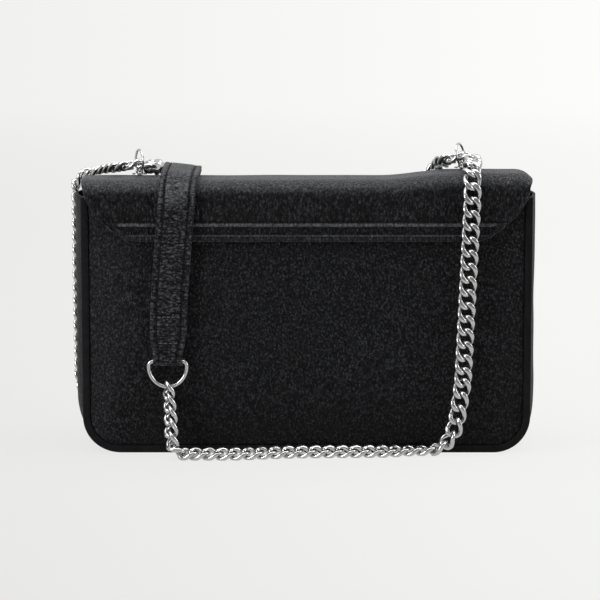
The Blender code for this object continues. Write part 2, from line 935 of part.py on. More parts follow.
def link_centreline(start, end, flat):
    """The closed wire of one link between two joints, facing the given way."""
    along = end - start
    chord = np.linalg.norm(along)
    along = along / chord
    flat = flat - along * float(flat @ along)
    flat = flat / np.linalg.norm(flat)
    side = np.cross(flat, along)
    half_length = (chord + link_wire - link_overlap) / 2
    points = []
    for step in range(link_points):
        angle = 2 * math.pi * (step + 0.5) / link_points
        reach = half_length * math.cos(angle) / math.cos(math.pi / link_points)
        spread = link_half_width * math.sin(angle)
        turn = math.pi / 2 * reach / chord
        across = spread * math.cos(turn) + spread * (1 - math.cos(turn)) * link_flatten_share / 2
        points.append(
            (start + end) / 2
            + along * reach
            + side * across
            + flat * spread * math.sin(turn) * link_flatten_share
        )
    return points


def connected_faces(first, seen):
    """All faces that can be reached over edges from the first one."""
    seen.add(first)
    found = [first]
    for face in found:
        for edge in face.edges:
            for near in edge.link_faces:
                if near not in seen:
                    seen.add(near)
                    found.append(near)
    return found


def fill_bubbles(obj):
    """Fills the closed bubbles that the union can leave where neighbouring links bite."""
    shape = bmesh.new()
    shape.from_mesh(obj.data)
    seen = set()
    bubbles = []
    for face in shape.faces:
        if face in seen:
            continue
        shell = connected_faces(face, seen)
        volume = sum(each.calc_area() * each.normal.dot(each.verts[0].co) for each in shell)
        if volume < 0:
            bubbles.extend(shell)
    bmesh.ops.delete(shape, geom=bubbles, context="FACES")
    shape.to_mesh(obj.data)
    shape.free()
    return obj


interlock = -(fit + link_overlap + link_wire * (link_swell_share - 1)) / 2
open_end = (link_wire * (1 + link_swell_share) - link_overlap + fit) / 2
links_made = {}


def make_chain(name, route, start_step, end_step, origin=None):
    """One stretch of chain: every second link is one mesh, and a union fuses the two."""
    joints, flats = link_joints(route, start_step, end_step)
    rows = [
        link_centreline(joints[i], joints[i + 1], (flats[i] + flats[i + 1]) / 2)
        for i in range(len(joints) - 1)
    ]
    links_made[name] = len(rows)
    even = tube(name, rows[0::2], link_wire * link_swell_share, cyclic=True, resolution=0)
    odd = tube(name + "_odd", rows[1::2], link_wire * link_swell_share, cyclic=True, resolution=0)
    chain = fill_bubbles(fused(even, odd))
    if origin is not None:
        chain = moved_origin(chain, origin)
    return nickel(chain)


UP = (0, 0, 1)
BACK = (0, -1, 0)
FRONT = (0, 1, 0)
LEFT = (-1, 0, 0)
SIDE = (1, 0, 0)
HALF_OPEN = (-0.90, 0.42, 0)  # square to the front D-ring when the flap is half open

hinge_line = (0, hinge_y, hinge_height)
chain_floor_z = chain_thickness / 2
d_hook = (
    d_ring_bottom
    + (d_ring_wire + link_wire * link_swell_share) / 2
    + fit
    - (link_wire - link_overlap) / 2
)


def over_bend(x, row, rise=0.0):
    """A place for the chain on the flap's back bend, and the way that its flat side faces."""
    rows = flap_rows()[back_leg_rows - 1 :]
    (y0, z0, _), (y, z, _), (y2, z2, _) = rows[row - 1 : row + 2]
    out = Vector((0, -(z2 - z0), y2 - y0)).normalized()
    reach = fit + rise + chain_thickness / 2
    return ((x, y + out.y * reach, lifted(x, z) + out.z * reach), tuple(out))


def make_back_chains():
    """Over the top at the right, down the back, along the floor and up to the back D-ring."""
    ring_z = ring_chain_height(ring_right_x)
    x = ring_right_x
    top = [
        ((x, ring_y, ring_z), UP),
        ((x + link_pitch, ring_y - link_pitch / 4, ring_z), UP),
        ((x + link_pitch, ring_y - 1.8 * link_pitch, ring_z - fit), UP),
        over_bend(drop_top_x, 6, 2 * fit),
        over_bend(drop_top_x, 4, fit),
        over_bend(drop_top_x, 2),
        ((drop_top_x, chain_back_y, hinge_height), BACK),
    ]
    make_chain("chain_top_right", top, interlock, open_end)
    drop = [
        ((drop_top_x, chain_back_y, hinge_height), BACK),
        (((drop_top_x + drop_low_x) / 2, chain_back_y, (hinge_height + drop_low) / 2), BACK),
        ((drop_low_x, chain_back_y, drop_low), BACK),
    ]
    make_chain("chain_drop_back", drop, open_end, interlock, hinge_line)
    near = -floor_run_near
    run = [
        drop[-1],
        ((drop_foot_x, chain_back_y, drop_foot), (-0.5, -1, 0)),
        ((drop_foot_x - floor_bend / 3, chain_back_y - fit, drop_foot / 2), (-0.7, -0.4, 1)),
        ((drop_foot_x - floor_bend, chain_back_y - 2 * fit, chain_floor_z + fit), UP),
        ((drop_foot_x - 2 * floor_bend, chain_back_y - 3 * fit, chain_floor_z), UP),
        ((drop_foot_x / 2, (chain_back_y + near) / 2, chain_floor_z), UP),
        ((0, near, chain_floor_z), UP),
        ((floor_run_left_x, near, chain_floor_z), UP),
    ]
    make_chain("chain_floor_back", run, interlock, interlock, hinge_line)
    rise = [
        run[-1],
        ((riser_foot_x + floor_bend / 2, near, chain_floor_z + 2 * fit), (0.3, 0, 1)),
        ((riser_foot_x, near + floor_bend / 4, floor_bend), (1, -0.3, 0.3)),
        (
            ((riser_foot_x + strap_foot_x) / 2, (strap_back_y + near) / 2, 2 * floor_bend),
            (1, -0.4, 0),
        ),
        ((strap_foot_x, strap_back_y, d_hook), SIDE),
    ]
    make_chain("chain_riser_back", rise, interlock, 0, hinge_line)


def make_swag():
    """From ring to ring, hanging in front of the flap."""
    left = ring_chain_height(ring_left_x)
    right = ring_chain_height(ring_right_x)
    edge = flap_front_y - flap_front_radius / 2
    brow = flap_top - flap_front_fall + chain_thickness
    low = brow - swag_drop
    lx = strap_x - (strap_width + link_wire) / 2 - link_half_width - 2 * fit
    rx = ring_right_x - swag_inset
    ahead = ring_y + 1.5 * link_pitch
    route = [
        ((ring_left_x, ring_y, left), UP),
        ((lx, ring_y + link_pitch / 4, left - fit), UP),
        ((lx, ahead, lying_height(lx, ahead)), UP),
        ((lx, edge, brow + chain_thickness / 2), (0, 1, 2)),
        ((lx + swag_inset, swag_y, brow - swag_inset), FRONT),
        ((lx / 2 + fit, swag_y, low + swag_drop / 8), FRONT),
        ((0, swag_y, low), FRONT),
        ((rx / 2, swag_y, low + swag_drop / 8), FRONT),
        ((rx - swag_inset, swag_y, brow - swag_inset), FRONT),
        ((rx, edge, brow + chain_thickness / 2), (0, 1, 2)),
        ((ring_right_x - link_pitch, ring_y + link_pitch / 4, right), UP),
        ((ring_right_x, ring_y, right), UP),
    ]
    make_chain("chain_swag", route, interlock, interlock)


def make_front_chains():
    """From the left ring over the left end, down the side, along the floor, up to the D-ring."""
    ring_z = ring_chain_height(ring_left_x)
    end_x = -flap_half_width
    top = [
        ((ring_left_x, ring_y, ring_z), UP),
        (
            (
                ring_left_x - link_pitch,
                ring_y + link_pitch / 4,
                (ring_z + lying_height(ring_left_x, ring_y)) / 2,
            ),
            UP,
        ),
        (
            (
                end_x + link_pitch,
                chain_left_y - link_pitch,
                lying_height(ring_left_x, chain_left_y - link_pitch) + fit,
            ),
            UP,
        ),
        (
            (chain_left_x + link_pitch / 4, chain_left_y - fit, chain_left_top + link_pitch / 2),
            (-1, 0, 1),
        ),
        ((chain_left_x, chain_left_y, chain_left_top), LEFT),
    ]
    make_chain("chain_top_left", top, interlock, open_end)
    low = front_turn + chain_floor_z
    pivot = (chain_left_x, chain_left_y, chain_left_top)
    drop = [
        (pivot, LEFT),
        ((chain_left_x, chain_left_y + fit, chain_left_top / 2), LEFT),
        ((chain_left_x + fit, chain_left_y + 4 * fit, 2 * low), LEFT),
    ]
    make_chain("chain_drop_left", drop, open_end, interlock, pivot)
    foot_x = strap_front_x - strap_front_lean
    run = [
        drop[-1],
        ((chain_left_x + chain_floor_z, (chain_left_y + front_floor_y) / 2, low), LEFT),
        ((chain_left_x + front_turn / 2, front_floor_y - fit, low / 3), (-1, 0, 1)),
        ((chain_left_x + 1.5 * front_turn, front_floor_y, chain_floor_z), UP),
        ((foot_x - 2 * front_turn, front_floor_y, chain_floor_z), UP),
        ((foot_x - front_turn, front_floor_y, chain_floor_z + fit), UP),
    ]
    make_chain("chain_floor_front", run, interlock, interlock, pivot)
    rise = [
        (run[-1][0], UP),
        ((foot_x - front_turn / 3, front_floor_y - fit, front_turn / 2), (-1, 1, 1)),
        ((foot_x, (front_floor_y + strap_front_y) / 2, 1.5 * front_turn), HALF_OPEN),
        ((foot_x, strap_front_y, d_hook + hook_room), HALF_OPEN),
    ]
    make_chain("chain_riser_front", rise, interlock, 0, pivot)


def strap_centre_over(rows):
    """How the strap's middle line crosses the top, leaning towards the front."""
    back, front = rows[0][0], rows[-1][0]

    def at(y):
        return strap_x + (strap_front_x - strap_x) * (y - back) / (front - back)

    return at


def make_strap():
    rows = strap_rows()
    over = sheet("strap_top", rows, 1, 0, strap_thickness, lift=False)
    centre = strap_centre_over(rows)
    for vert in over.data.vertices:
        vert.co.x += centre(vert.co.y)
    leather(over)
    top = hinge_height - fit / 2
    strap_leg("strap_back_leg", strap_back_y, strap_x, top, strap_leg_lean, hinge_line)
    make_d_ring("d_ring_back", strap_foot_x, strap_back_y, hinge_line)
    front_top = rows[-1][1] - fit
    strap_leg(
        "strap_front_leg", strap_front_y, strap_front_x, front_top, strap_front_lean, hinge_line
    )
    make_d_ring(
        "d_ring_front", strap_front_x - strap_front_lean, strap_front_y, hinge_line
    )


for panel_name, rim_name, facing in (
    ("back_panel", "back_rim", -1),
    ("front_panel", "front_rim", 1),
):
    make_panel(panel_name, facing)
    make_rim(rim_name, facing)
make_gusset()
make_boards()
make_lining()
make_pocket()
flap_outer, flap_under = make_flap()
for ring_name, ring_x, ring_yaw, ring_lean in (
    ("left", ring_left_x, ring_left_yaw, ring_left_lean),
    ("right", ring_right_x, ring_right_yaw, ring_right_lean),
):
    make_ring("ring_" + ring_name, ring_x, ring_yaw, ring_lean)
    make_ring_base("ring_base_" + ring_name, ring_x, ring_yaw)
    make_ring_plate("ring_plate_" + ring_name, ring_x)
    flap_outer = cut(flap_outer, rivet_hole("hole_outer", ring_x))
    flap_under = cut(flap_under, rivet_hole("hole_under", ring_x))
leather(moved_origin(flap_outer, hinge_line))
cloth(moved_origin(flap_under, hinge_line))
make_snap()
make_strap()
make_back_chains()
make_swag()
make_front_chains()
print("links:", sum(links_made.values()), links_made)
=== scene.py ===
"""The looks of the flap handbag on its curb chain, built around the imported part.

Metres, in the part's own frame: +Z up, the back of the bag faces -Y, and +X is to the right from behind.
"""

from math import atan2, ceil, cos, pi, radians, sin

import bmesh
import bpy
import numpy as np
from mathutils import Matrix, Vector, noise


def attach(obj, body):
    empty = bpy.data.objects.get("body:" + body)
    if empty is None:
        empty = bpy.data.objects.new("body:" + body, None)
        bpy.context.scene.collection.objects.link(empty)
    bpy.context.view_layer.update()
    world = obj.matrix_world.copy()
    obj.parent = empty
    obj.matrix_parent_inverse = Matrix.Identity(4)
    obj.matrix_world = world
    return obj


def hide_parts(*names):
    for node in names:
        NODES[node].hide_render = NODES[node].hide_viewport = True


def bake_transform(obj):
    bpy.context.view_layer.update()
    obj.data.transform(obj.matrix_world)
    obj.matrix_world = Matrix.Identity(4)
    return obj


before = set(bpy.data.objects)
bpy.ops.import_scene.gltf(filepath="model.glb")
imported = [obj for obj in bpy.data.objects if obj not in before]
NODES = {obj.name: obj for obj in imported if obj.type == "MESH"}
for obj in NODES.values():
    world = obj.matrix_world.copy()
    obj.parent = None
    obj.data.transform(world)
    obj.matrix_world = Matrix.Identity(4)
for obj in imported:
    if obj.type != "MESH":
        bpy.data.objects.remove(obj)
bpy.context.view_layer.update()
SCENE = bpy.context.scene
MM = 0.001
ALONG_X = (1.0, 0, 0)
ALONG_Y = (0, 1.0, 0)
BOTH_ENDS = (("back", -1), ("front", 1))


def put(name, data):
    obj = bpy.data.objects.new(name, data)
    SCENE.collection.objects.link(obj)
    return obj


# Camera

aim = Vector((-0.00435, -0.031, 0.0846))
elevation = radians(8.0)
distance = 1.3
away = Vector((0, -cos(elevation), sin(elevation)))
camera_data = bpy.data.cameras.new("camera")
camera_data.lens = 143.5
camera_data.sensor_width = 36.0
camera = put("camera", camera_data)
camera.location = aim + away * distance
camera.rotation_euler = (-away).to_track_quat("-Z", "Y").to_euler()
SCENE.camera = camera


# Sizes that repeat the part's own

half_width = 0.12175
half_depth = 0.031
body_height = 0.1405
corner_radius = 0.02
panel_inset = 0.0043
panel_sunk = 0.0007
gusset_half = 0.0273
gusset_bulge = 0.0032
lining_half = 0.11895
lining_radius = 0.0175
lining_top = 0.1385
lining_thick = 0.0008
pocket_bottom = 0.0435
pocket_half = 0.055
flap_back_y = -0.034
flap_front_y = 0.0373
flap_top = 0.1502
back_bend = 0.01
front_bend = 0.009
front_fall = 0.005
flap_thick = 0.0027
flap_corner = 0.03
hinge_z = 0.1394
back_leg_z = 0.1166
front_leg_z = 0.058
fit = 0.0003
snap_z = 0.078
ring_left_x, ring_right_x = -0.093, 0.085
ring_half_depth = 0.0076
ring_half_height = 0.0066
ring_wire = 0.0013
ring_foot = 0.0007
staple_wire = 0.0012
strap_back_y = -0.0358
strap_front_y = 0.0391
strap_thick = 0.003
strap_half = 0.01
strap_layer = 0.00148
strap_groove = 0.00315
strap_end_z = 0.1362
strap_foot_x, foot_x = -0.0763, -0.0705
d_bar_z = 0.0515
d_ring_wire = 0.0022
d_ring_low = 0.0376
right_rise = 0.0035


# Numbers


def unit(v):
    return v / np.linalg.norm(v, axis=-1, keepdims=True)


def xyz(x, y, z):
    """Places with these coordinates, each an array or one number."""
    return np.stack(np.broadcast_arrays(x, y, z), -1)


def ease(t):
    t = np.clip(t, 0.0, 1.0)
    return t * t * (3 - 2 * t)


def fade(value, start, length):
    """A soft rise from 0 to 1 that begins at start, over a length, in millimetres."""
    return ease((value - start * MM) / (length * MM))


def ridge(value, at, width):
    """A soft ridge of height 1 that ends at its width either side, in millimetres."""
    t = np.clip(1 - ((value - at * MM) / (width * MM)) ** 2, 0.0, 1.0)
    return t * t


def wobble(size, x, y, z, seed=0.0):
    """Smooth noise from -1 to 1, with lumps of that size in millimetres."""
    points = xyz(x, y, z)
    made = np.array([noise.noise(Vector(p)) for p in points.reshape(-1, 3) / (size * MM) + seed])
    return made.reshape(points.shape[:-1])


def tangents(points):
    return unit(np.gradient(points, axis=0))


def yz_normals(rows):
    """Normals of rows that run in the plane of Y and Z, or close to it."""
    t = tangents(rows)
    return unit(xyz(0, -t[:, 2], t[:, 1]))


def arc_length(points):
    return np.hstack([[0], np.cumsum(np.linalg.norm(np.diff(points, axis=0), axis=1))])


def sample(at, known, values):
    """Values read between the places where they are known."""
    return np.stack([np.interp(at, known, column) for column in values.T], axis=-1)


def spaced(start, end, step):
    count = max(2, ceil(abs(end - start) / step) + 1)
    return np.linspace(start, end, count)


def arc_at(u, v, radius, start, end, count, tall=None):
    """Points on an arc about a centre, between two angles in quarter turns."""
    angles = np.linspace(start, end, count) * pi / 2
    return list(zip(u + radius * np.cos(angles), v + (tall or radius) * np.sin(angles)))


# Meshes


def add(name, verts, faces, uv=None):
    mesh = bpy.data.meshes.new(name)
    mesh.from_pydata([tuple(v) for v in verts], [], faces)
    if uv is not None:
        layer = mesh.uv_layers.new(name="UVMap")
        index = np.zeros(len(mesh.loops), np.int32)
        mesh.loops.foreach_get("vertex_index", index)
        layer.data.foreach_set("uv", np.asarray(uv, np.float32)[index].ravel())
    mesh.update()
    mesh.polygons.foreach_set("use_smooth", [True] * len(mesh.polygons))
    return put(name, mesh)


def merge(pieces):
    """One list of verts and one of faces from several."""
    verts, faces = [], []
    for v, f in pieces:
        start = len(verts)
        verts.extend(v)
        faces += [[start + i for i in face] for face in f]
    return verts, faces


def weld(obj, dist=1e-6):
    shape = bmesh.new()
    shape.from_mesh(obj.data)
    bmesh.ops.remove_doubles(shape, verts=shape.verts, dist=dist)
    bmesh.ops.recalc_face_normals(shape, faces=shape.faces)
    shape.to_mesh(obj.data)
    shape.free()
    obj.data.set_sharp_from_angle(angle=radians(60))
    return obj


def grid_faces(rows, cols, wrap_rows=False, wrap_cols=False, start=0, flip=False):
    index = start + np.arange(rows * cols).reshape(rows, cols)
    if wrap_rows:
        index = np.vstack([index, index[:1]])
    if wrap_cols:
        index = np.hstack([index, index[:, :1]])
    quads = np.stack([index[:-1, :-1], index[:-1, 1:], index[1:, 1:], index[1:, :-1]], -1).reshape(-1, 4)
    return (quads[:, ::-1] if flip else quads).tolist()


def two_faces(outer, inner):
    """Verts and faces of two like grids of points that face away from each other."""
    rows, cols = outer.shape[:2]
    verts = np.vstack([outer.reshape(-1, 3), inner.reshape(-1, 3)])
    return verts, grid_faces(rows, cols) + grid_faces(rows, cols, start=rows * cols, flip=True)


def walls(starts, ends, count):
    """The faces that join two like grids along an edge."""
    return [(a, b, count + b, count + a) for a, b in zip(starts, ends)]


EDGE = np.array([0.0, 0.06, 0.18, 0.38, 0.7, 1.1, 1.7, 2.5, 3.4]) * MM
UV_SIZE = 0.1


def columns(left, right, count):
    """Places across a row from -left to right, close together near both edges."""
    inner = np.linspace(-left + EDGE[-1], right - EDGE[-1], count)
    return np.hstack([-left + EDGE[:-1], inner, right - EDGE[:-1][::-1]])


def sheet(name, base, out, side, halves, thickness, relief=None, cols=60, round_ends=(True, True),
          after=None, edge=None, painted_light=None):
    """A closed leather sheet over rows of outer-face points, with rolled edges.

    halves is its reach to either side, or a pair of reaches. relief(x, arc, d) gives how far the
    outer face is sunk at each point, and the painted-light function of (x, arc, d) how much painted highlight (above
    0) or painted shade (below 0) it gets.
    """
    base = np.asarray(base, float)
    out, side = (np.broadcast_to(np.asarray(v, float), base.shape)[:, None] for v in (out, side))
    left, right = halves if isinstance(halves, tuple) else (halves, halves)
    left, right, thick = (np.broadcast_to(v, len(base)).astype(float) for v in (left, right, thickness))
    arc = arc_length(base)
    x = np.stack([columns(*reach, cols) for reach in zip(left, right)])
    slope_l, slope_r = (np.cos(np.arctan(np.gradient(v, arc)))[:, None] for v in (left, right))
    thick, arc = thick[:, None], arc[:, None] + 0 * x
    d = np.minimum((x + left[:, None]) * slope_l, (right[:, None] - x) * slope_r)
    if round_ends[0]:
        d = np.minimum(d, arc)
    if round_ends[1]:
        d = np.minimum(d, arc[-1] - arc)
    d = np.clip(d, 0, None)
    radius = thick / 2 if edge is None else np.minimum(edge, thick / 2)
    near = np.clip(radius - d, 0, None)
    roll = radius - np.sqrt(np.clip(radius**2 - near**2, 0, None))
    sunk = roll + (thick / 2 - radius) * (d <= 1e-9)
    depth = sunk
    if relief is not None:
        depth = np.minimum(sunk + relief(x, arc, d) * fade(d, 0, 0.6), thick / 2)
    outer = base[:, None] + side * x[..., None] - out * depth[..., None]
    inner = base[:, None] + side * x[..., None] - out * (thick - sunk)[..., None]
    if after is not None:
        outer, inner = after(outer), after(inner)
    verts, faces = two_faces(outer, inner)
    count, across = x.size, x.shape[1]
    first, last = range(across), range(count - across, count)
    if not round_ends[0]:
        faces += walls(first[1:], first, count)
    if not round_ends[1]:
        faces += walls(last, last[1:], count)
    uv = np.stack([x, arc], -1).reshape(-1, 2) / UV_SIZE
    obj = add(name, verts, faces, np.tile(uv, (2, 1)))
    # Painted light stored per point: above 0 a painted highlight, below 0 painted shade; the inner face gets none.
    if painted_light is not None:
        painted_light_value = np.clip(painted_light(x, arc, d), -1, 1).reshape(-1)
        layer = obj.data.attributes.new("painted_light", "FLOAT", "POINT")
        layer.data.foreach_set("value", np.hstack([painted_light_value, 0 * painted_light_value]).astype(np.float32))
    return weld(obj, 2e-6)


def tube(points, radius, sides=12, closed=False):
    """Round wire along points."""
    points = np.asarray(points, float)
    n = len(points)
    along = unit(np.roll(points, -1, 0) - np.roll(points, 1, 0)) if closed else tangents(points)
    first = np.cross(along[0], (0, 0, 1.0))
    if np.linalg.norm(first) < 0.1:
        first = np.cross(along[0], ALONG_Y)
    normals = [unit(first)]
    for ahead in along[1:]:
        normals.append(unit(normals[-1] - ahead * (normals[-1] @ ahead)))
    normals = np.array(normals)
    if closed:
        last = unit(normals[-1] - along[0] * (normals[-1] @ along[0]))
        angle = atan2(np.cross(last, normals[0]) @ along[0], last @ normals[0])
        share = (angle * np.arange(n) / n)[:, None]
        normals = normals * np.cos(share) + np.cross(along, normals) * np.sin(share)
    other = np.cross(along, normals)
    a = (2 * pi * np.arange(sides) / sides)[:, None]
    ring = normals[:, None] * np.cos(a) + other[:, None] * np.sin(a)
    verts = points[:, None] + ring * np.broadcast_to(radius, (n,))[:, None, None]
    faces = grid_faces(n, sides, wrap_rows=closed, wrap_cols=True)
    if not closed:
        faces += [range(sides)[::-1], range((n - 1) * sides, n * sides)]
    return verts.reshape(-1, 3), faces


def lathe(profile, matrix, sides=48):
    """A closed (radius, height) profile in millimetres, turned about Z and placed by the matrix."""
    verts, faces = [], []
    n = len(profile)
    for k in range(sides):
        a = 2 * pi * k / sides
        for r, h in profile:
            verts.append(matrix @ Vector((r * MM * cos(a), r * MM * sin(a), h * MM)))
    for k in range(sides):
        k2 = (k + 1) % sides
        faces += [(k * n + i, k2 * n + i, k2 * n + i + 1, k * n + i + 1) for i in range(n - 1)]
    return verts, faces


STITCH_STEPS = np.array([-0.5, -0.42, -0.25, 0.0, 0.25, 0.42, 0.5])
STITCH_WIDTHS = np.array([0.35, 0.75, 1.0, 1.0, 1.0, 0.75, 0.35])
STITCH_SUNK = 0.12 * MM


def stitches(points, normals, pitch, share, thread):
    """Thread stitches along a line of points, each a short soft capsule."""
    arc = arc_length(points)
    count = max(1, int(arc[-1] / pitch))
    rises = thread * (0.5 - 3.0 * abs(STITCH_STEPS) ** 3) - STITCH_SUNK
    made = []
    for middle in (np.arange(count) + 0.5) * arc[-1] / count:
        span = sample(middle + STITCH_STEPS * pitch * share, arc, points)
        normal = unit(sample(middle, arc, normals))
        made.append(tube(span + normal * rises[:, None], STITCH_WIDTHS * thread / 2, sides=7))
    return merge(made)


# Materials


def feed(tree, made, inputs):
    """Sets or links sockets by number or name, with _ for each space; other names are properties."""
    for key, value in inputs.items():
        name = key if isinstance(key, int) else key.replace("_", " ")
        if not isinstance(key, int) and name not in made.inputs:
            setattr(made, key, value)
        elif isinstance(value, Output):
            tree.links.new(value.socket, made.inputs[name])
        else:
            made.inputs[name].default_value = value


def node(tree, kind, *values, **inputs):
    """The first output of a new node; values feed its sockets in order."""
    made = tree.nodes.new("ShaderNode" + kind)
    feed(tree, made, {**inputs, **dict(enumerate(values))})
    return Output(tree, made.outputs[0])


def math_node(operation, swapped=False):
    def made(self, other):
        pair = (other, self) if swapped else (self, other)
        return node(self.tree, "Math", *pair, operation=operation)

    return made


class Output:
    """A node's output, so that sums of outputs are written as sums."""

    def __init__(self, tree, socket):
        self.tree, self.socket = tree, socket

    def __getitem__(self, key):
        return Output(self.tree, self.socket.node.outputs[key])

    __add__, __radd__ = math_node("ADD"), math_node("ADD", True)
    __sub__, __rsub__ = math_node("SUBTRACT"), math_node("SUBTRACT", True)
    __mul__, __truediv__ = math_node("MULTIPLY"), math_node("DIVIDE")
    at_least, at_most = math_node("MAXIMUM"), math_node("MINIMUM")


def new_material(name):
    mat = bpy.data.materials.new(name)
    mat.use_nodes = True
    return mat, mat.node_tree


def shade_with(tree, **inputs):
    feed(tree, tree.nodes["Principled BSDF"], inputs)


def bumped(tree, height, distance, strength=1.0):
    """Bumps the surface, by a distance in millimetres."""
    shade_with(tree, Normal=node(tree, "Bump", Strength=strength, Distance=distance * MM, Height=height))


def ramp(source, colour, *stops):
    """A ramp with, at each stop, a place and what the colour is multiplied by there."""
    made = node(source.tree, "ValToRGB", source)
    elements = made.socket.node.color_ramp.elements
    while len(elements) < len(stops):
        elements.new(0.5)
    for element, (place, share) in zip(elements, stops):
        element.position = place
        element.color = (*(np.array(colour) * share), 1)
    return made


def mapped(source, start, end, low=0.0, high=1.0):
    return node(source.tree, "MapRange", source, start, end, low, high)


def coordinates(tree, scale=(1.0, 1.0, 1.0), kind="Object"):
    return node(tree, "Mapping", node(tree, "TexCoord")[kind], Scale=scale)


def clouds(where, scale, detail, roughness, output="Fac", **more):
    return node(where.tree, "TexNoise", Vector=where, Scale=scale, Detail=detail, Roughness=roughness, **more)[output]


WHITE = (1.0, 1.0, 1.0)


def leather_material(name, colour=(0.0068, 0.0068, 0.0077), cell=1.35, stretch=(1.0, 1.0, 0.5),
                     depth=0.75, specular=0.085, sheen=0.2, cross=0.0, kind="Object",
                     painted_highlight_colour=(0.118, 0.12, 0.132)):
    """Pebbled leather: rounded cells between creases, finer grain on them, creases painted darker (painted shade),
    and painted highlights and painted shade from a mesh attribute.
    """
    mat, tree = new_material(name)
    metre = 1.0 if kind == "Object" else UV_SIZE
    where = coordinates(tree, tuple(metre * share * 1000.0 / cell for share in stretch), kind)
    warp = clouds(where, 0.7, 3.0, 0.6, "Color")
    warped = node(tree, "VectorMath", warp, (1.1, 1.1, 1.1), where, operation="MULTIPLY_ADD")

    def cells(feature, scale, **more):
        return node(tree, "TexVoronoi", Vector=warped, feature=feature, Scale=scale, Randomness=1.0, **more)

    edges = cells("DISTANCE_TO_EDGE", 1.0)
    lumps = cells("SMOOTH_F1", 1.0, Smoothness=0.3)
    small = cells("SMOOTH_F1", 2.3, Smoothness=0.3)
    fine = clouds(where, 5.0, 4.0, 0.6)
    broad = clouds(where, 0.12, 2.0, 0.5)
    fleck = clouds(where, 1.15, 2.0, 0.6)
    valley = ramp(edges, WHITE, (0.0, 0.0), (0.07, 0.45), (0.2, 1.0))
    height = valley * 0.34 + (1.0 - lumps) * 0.55 - small * 0.22 + fine * 0.12
    # The grain's creases are painted darker (painted shade); the flecks are tone that differs at random.
    shade = (valley * 0.8 + 0.2) * mapped(fleck, 0.38, 0.62)
    if cross:
        folds = coordinates(tree, (metre * 130.0, metre * 820.0, metre * 130.0), kind)
        lines = clouds(folds, 1.0, 3.0, 0.55, Distortion=1.0)
        height = height + lines * cross
        # Light and dark wrinkle lines in the strap's tone: painted highlight and painted shade along its folds.
        shade = shade + (lines - 0.5) * 1.9
    bumped(tree, height, depth)
    tone = ramp(shade, colour, (0.0, 0.05), (0.45, 1.1), (1.0, 5.2))
    # The mesh's painted light: above 0 it blends towards the highlight colour (painted highlight), below 0 it darkens
    # the tone (painted shade).
    painted_light_value = node(tree, "Attribute", attribute_name="painted_light")["Fac"]
    deep = node(tree, "VectorMath", tone, operation="SCALE", Scale=painted_light_value.at_most(0.0) + 1.0)
    blend = node(tree, "Mix", data_type="RGBA")
    light = painted_light_value.at_least(0.0) * (shade * 0.9 + 0.28)
    feed(tree, blend.socket.node, {0: light, 6: deep, 7: (*painted_highlight_colour, 1)})
    rough = mapped(valley * 0.6 + broad * 0.5, 0.0, 1.0, 0.5, 0.36)
    shade_with(tree, Base_Color=blend[2], Roughness=rough, Specular_IOR_Level=specular,
               Sheen_Weight=sheen, Sheen_Roughness=0.35, Sheen_Tint=(0.92, 0.94, 1.0, 1))
    return mat


def smooth_leather(name, colour, depth=0.05, roughness=(0.34, 0.5), specular=0.09):
    """Turned leather edges and thread: nearly smooth, with a faint grain."""
    mat, tree = new_material(name)
    where = coordinates(tree)
    grain = clouds(where, 1500.0, 4.0, 0.6)
    soft = clouds(where, 190.0, 3.0, 0.55)
    bumped(tree, grain + soft * 2.5, depth, 0.7)
    shade_with(tree, Base_Color=ramp(soft, colour, (0.3, 0.75), (0.7, 1.3)), Specular_IOR_Level=specular,
               Roughness=mapped(soft, 0.0, 1.0, *roughness))
    return mat


def metal_material(name, colour, roughness):
    """Polished nickel plate with faint scratches and a slightly uneven polish."""
    mat, tree = new_material(name)
    where = coordinates(tree)
    soft = clouds(where, 260.0, 3.0, 0.6)
    bumped(tree, clouds(where, 2600.0, 2.0, 0.7), 0.02, 0.12)
    shade_with(tree, Metallic=1.0, Base_Color=ramp(soft, colour, (0.3, 0.93), (0.75, 1.0)),
               Roughness=mapped(soft, 0.3, 0.7, *roughness))
    return mat


def cloth_material(name, colour=(0.022, 0.022, 0.025), pitch=0.45 * MM):
    """A plain woven lining: two crossed sets of threads, with a soft sheen."""
    mat, tree = new_material(name)
    where = coordinates(tree)
    across, up = (node(tree, "TexWave", Vector=where, wave_type="BANDS", bands_direction=direction,
                       Scale=1.0 / pitch / 6.28, Distortion=0.35, Detail=1.0)["Fac"] for direction in "XZ")
    height = across.at_least(up)
    bumped(tree, height, 0.08, 0.5)
    shade_with(tree, Base_Color=ramp(height, colour, (0.2, 0.6), (0.9, 1.3)), Roughness=0.8,
               Sheen_Weight=0.15, Sheen_Roughness=0.5)
    return mat


def board_material(name):
    mat, tree = new_material(name)
    fibres = clouds(coordinates(tree), 900.0, 5.0, 0.7)
    tone = ramp(fibres, WHITE, (0.3, (0.24, 0.22, 0.19)), (0.7, (0.38, 0.36, 0.32)))
    shade_with(tree, Base_Color=tone, Roughness=0.9)
    return mat


LEATHER = leather_material("pebbled_leather")
PANEL = leather_material("panel_leather", stretch=(1.0, 1.0, 0.75), depth=0.5)
# The gusset is the same leather, darkened to about two thirds: painted shade on the bag's sides.
SHADED_GUSSET = leather_material("gusset_leather_shaded", (0.0045, 0.0045, 0.005), stretch=(1.0, 1.0, 0.8),
                          depth=0.35, specular=0.03, sheen=0.03)
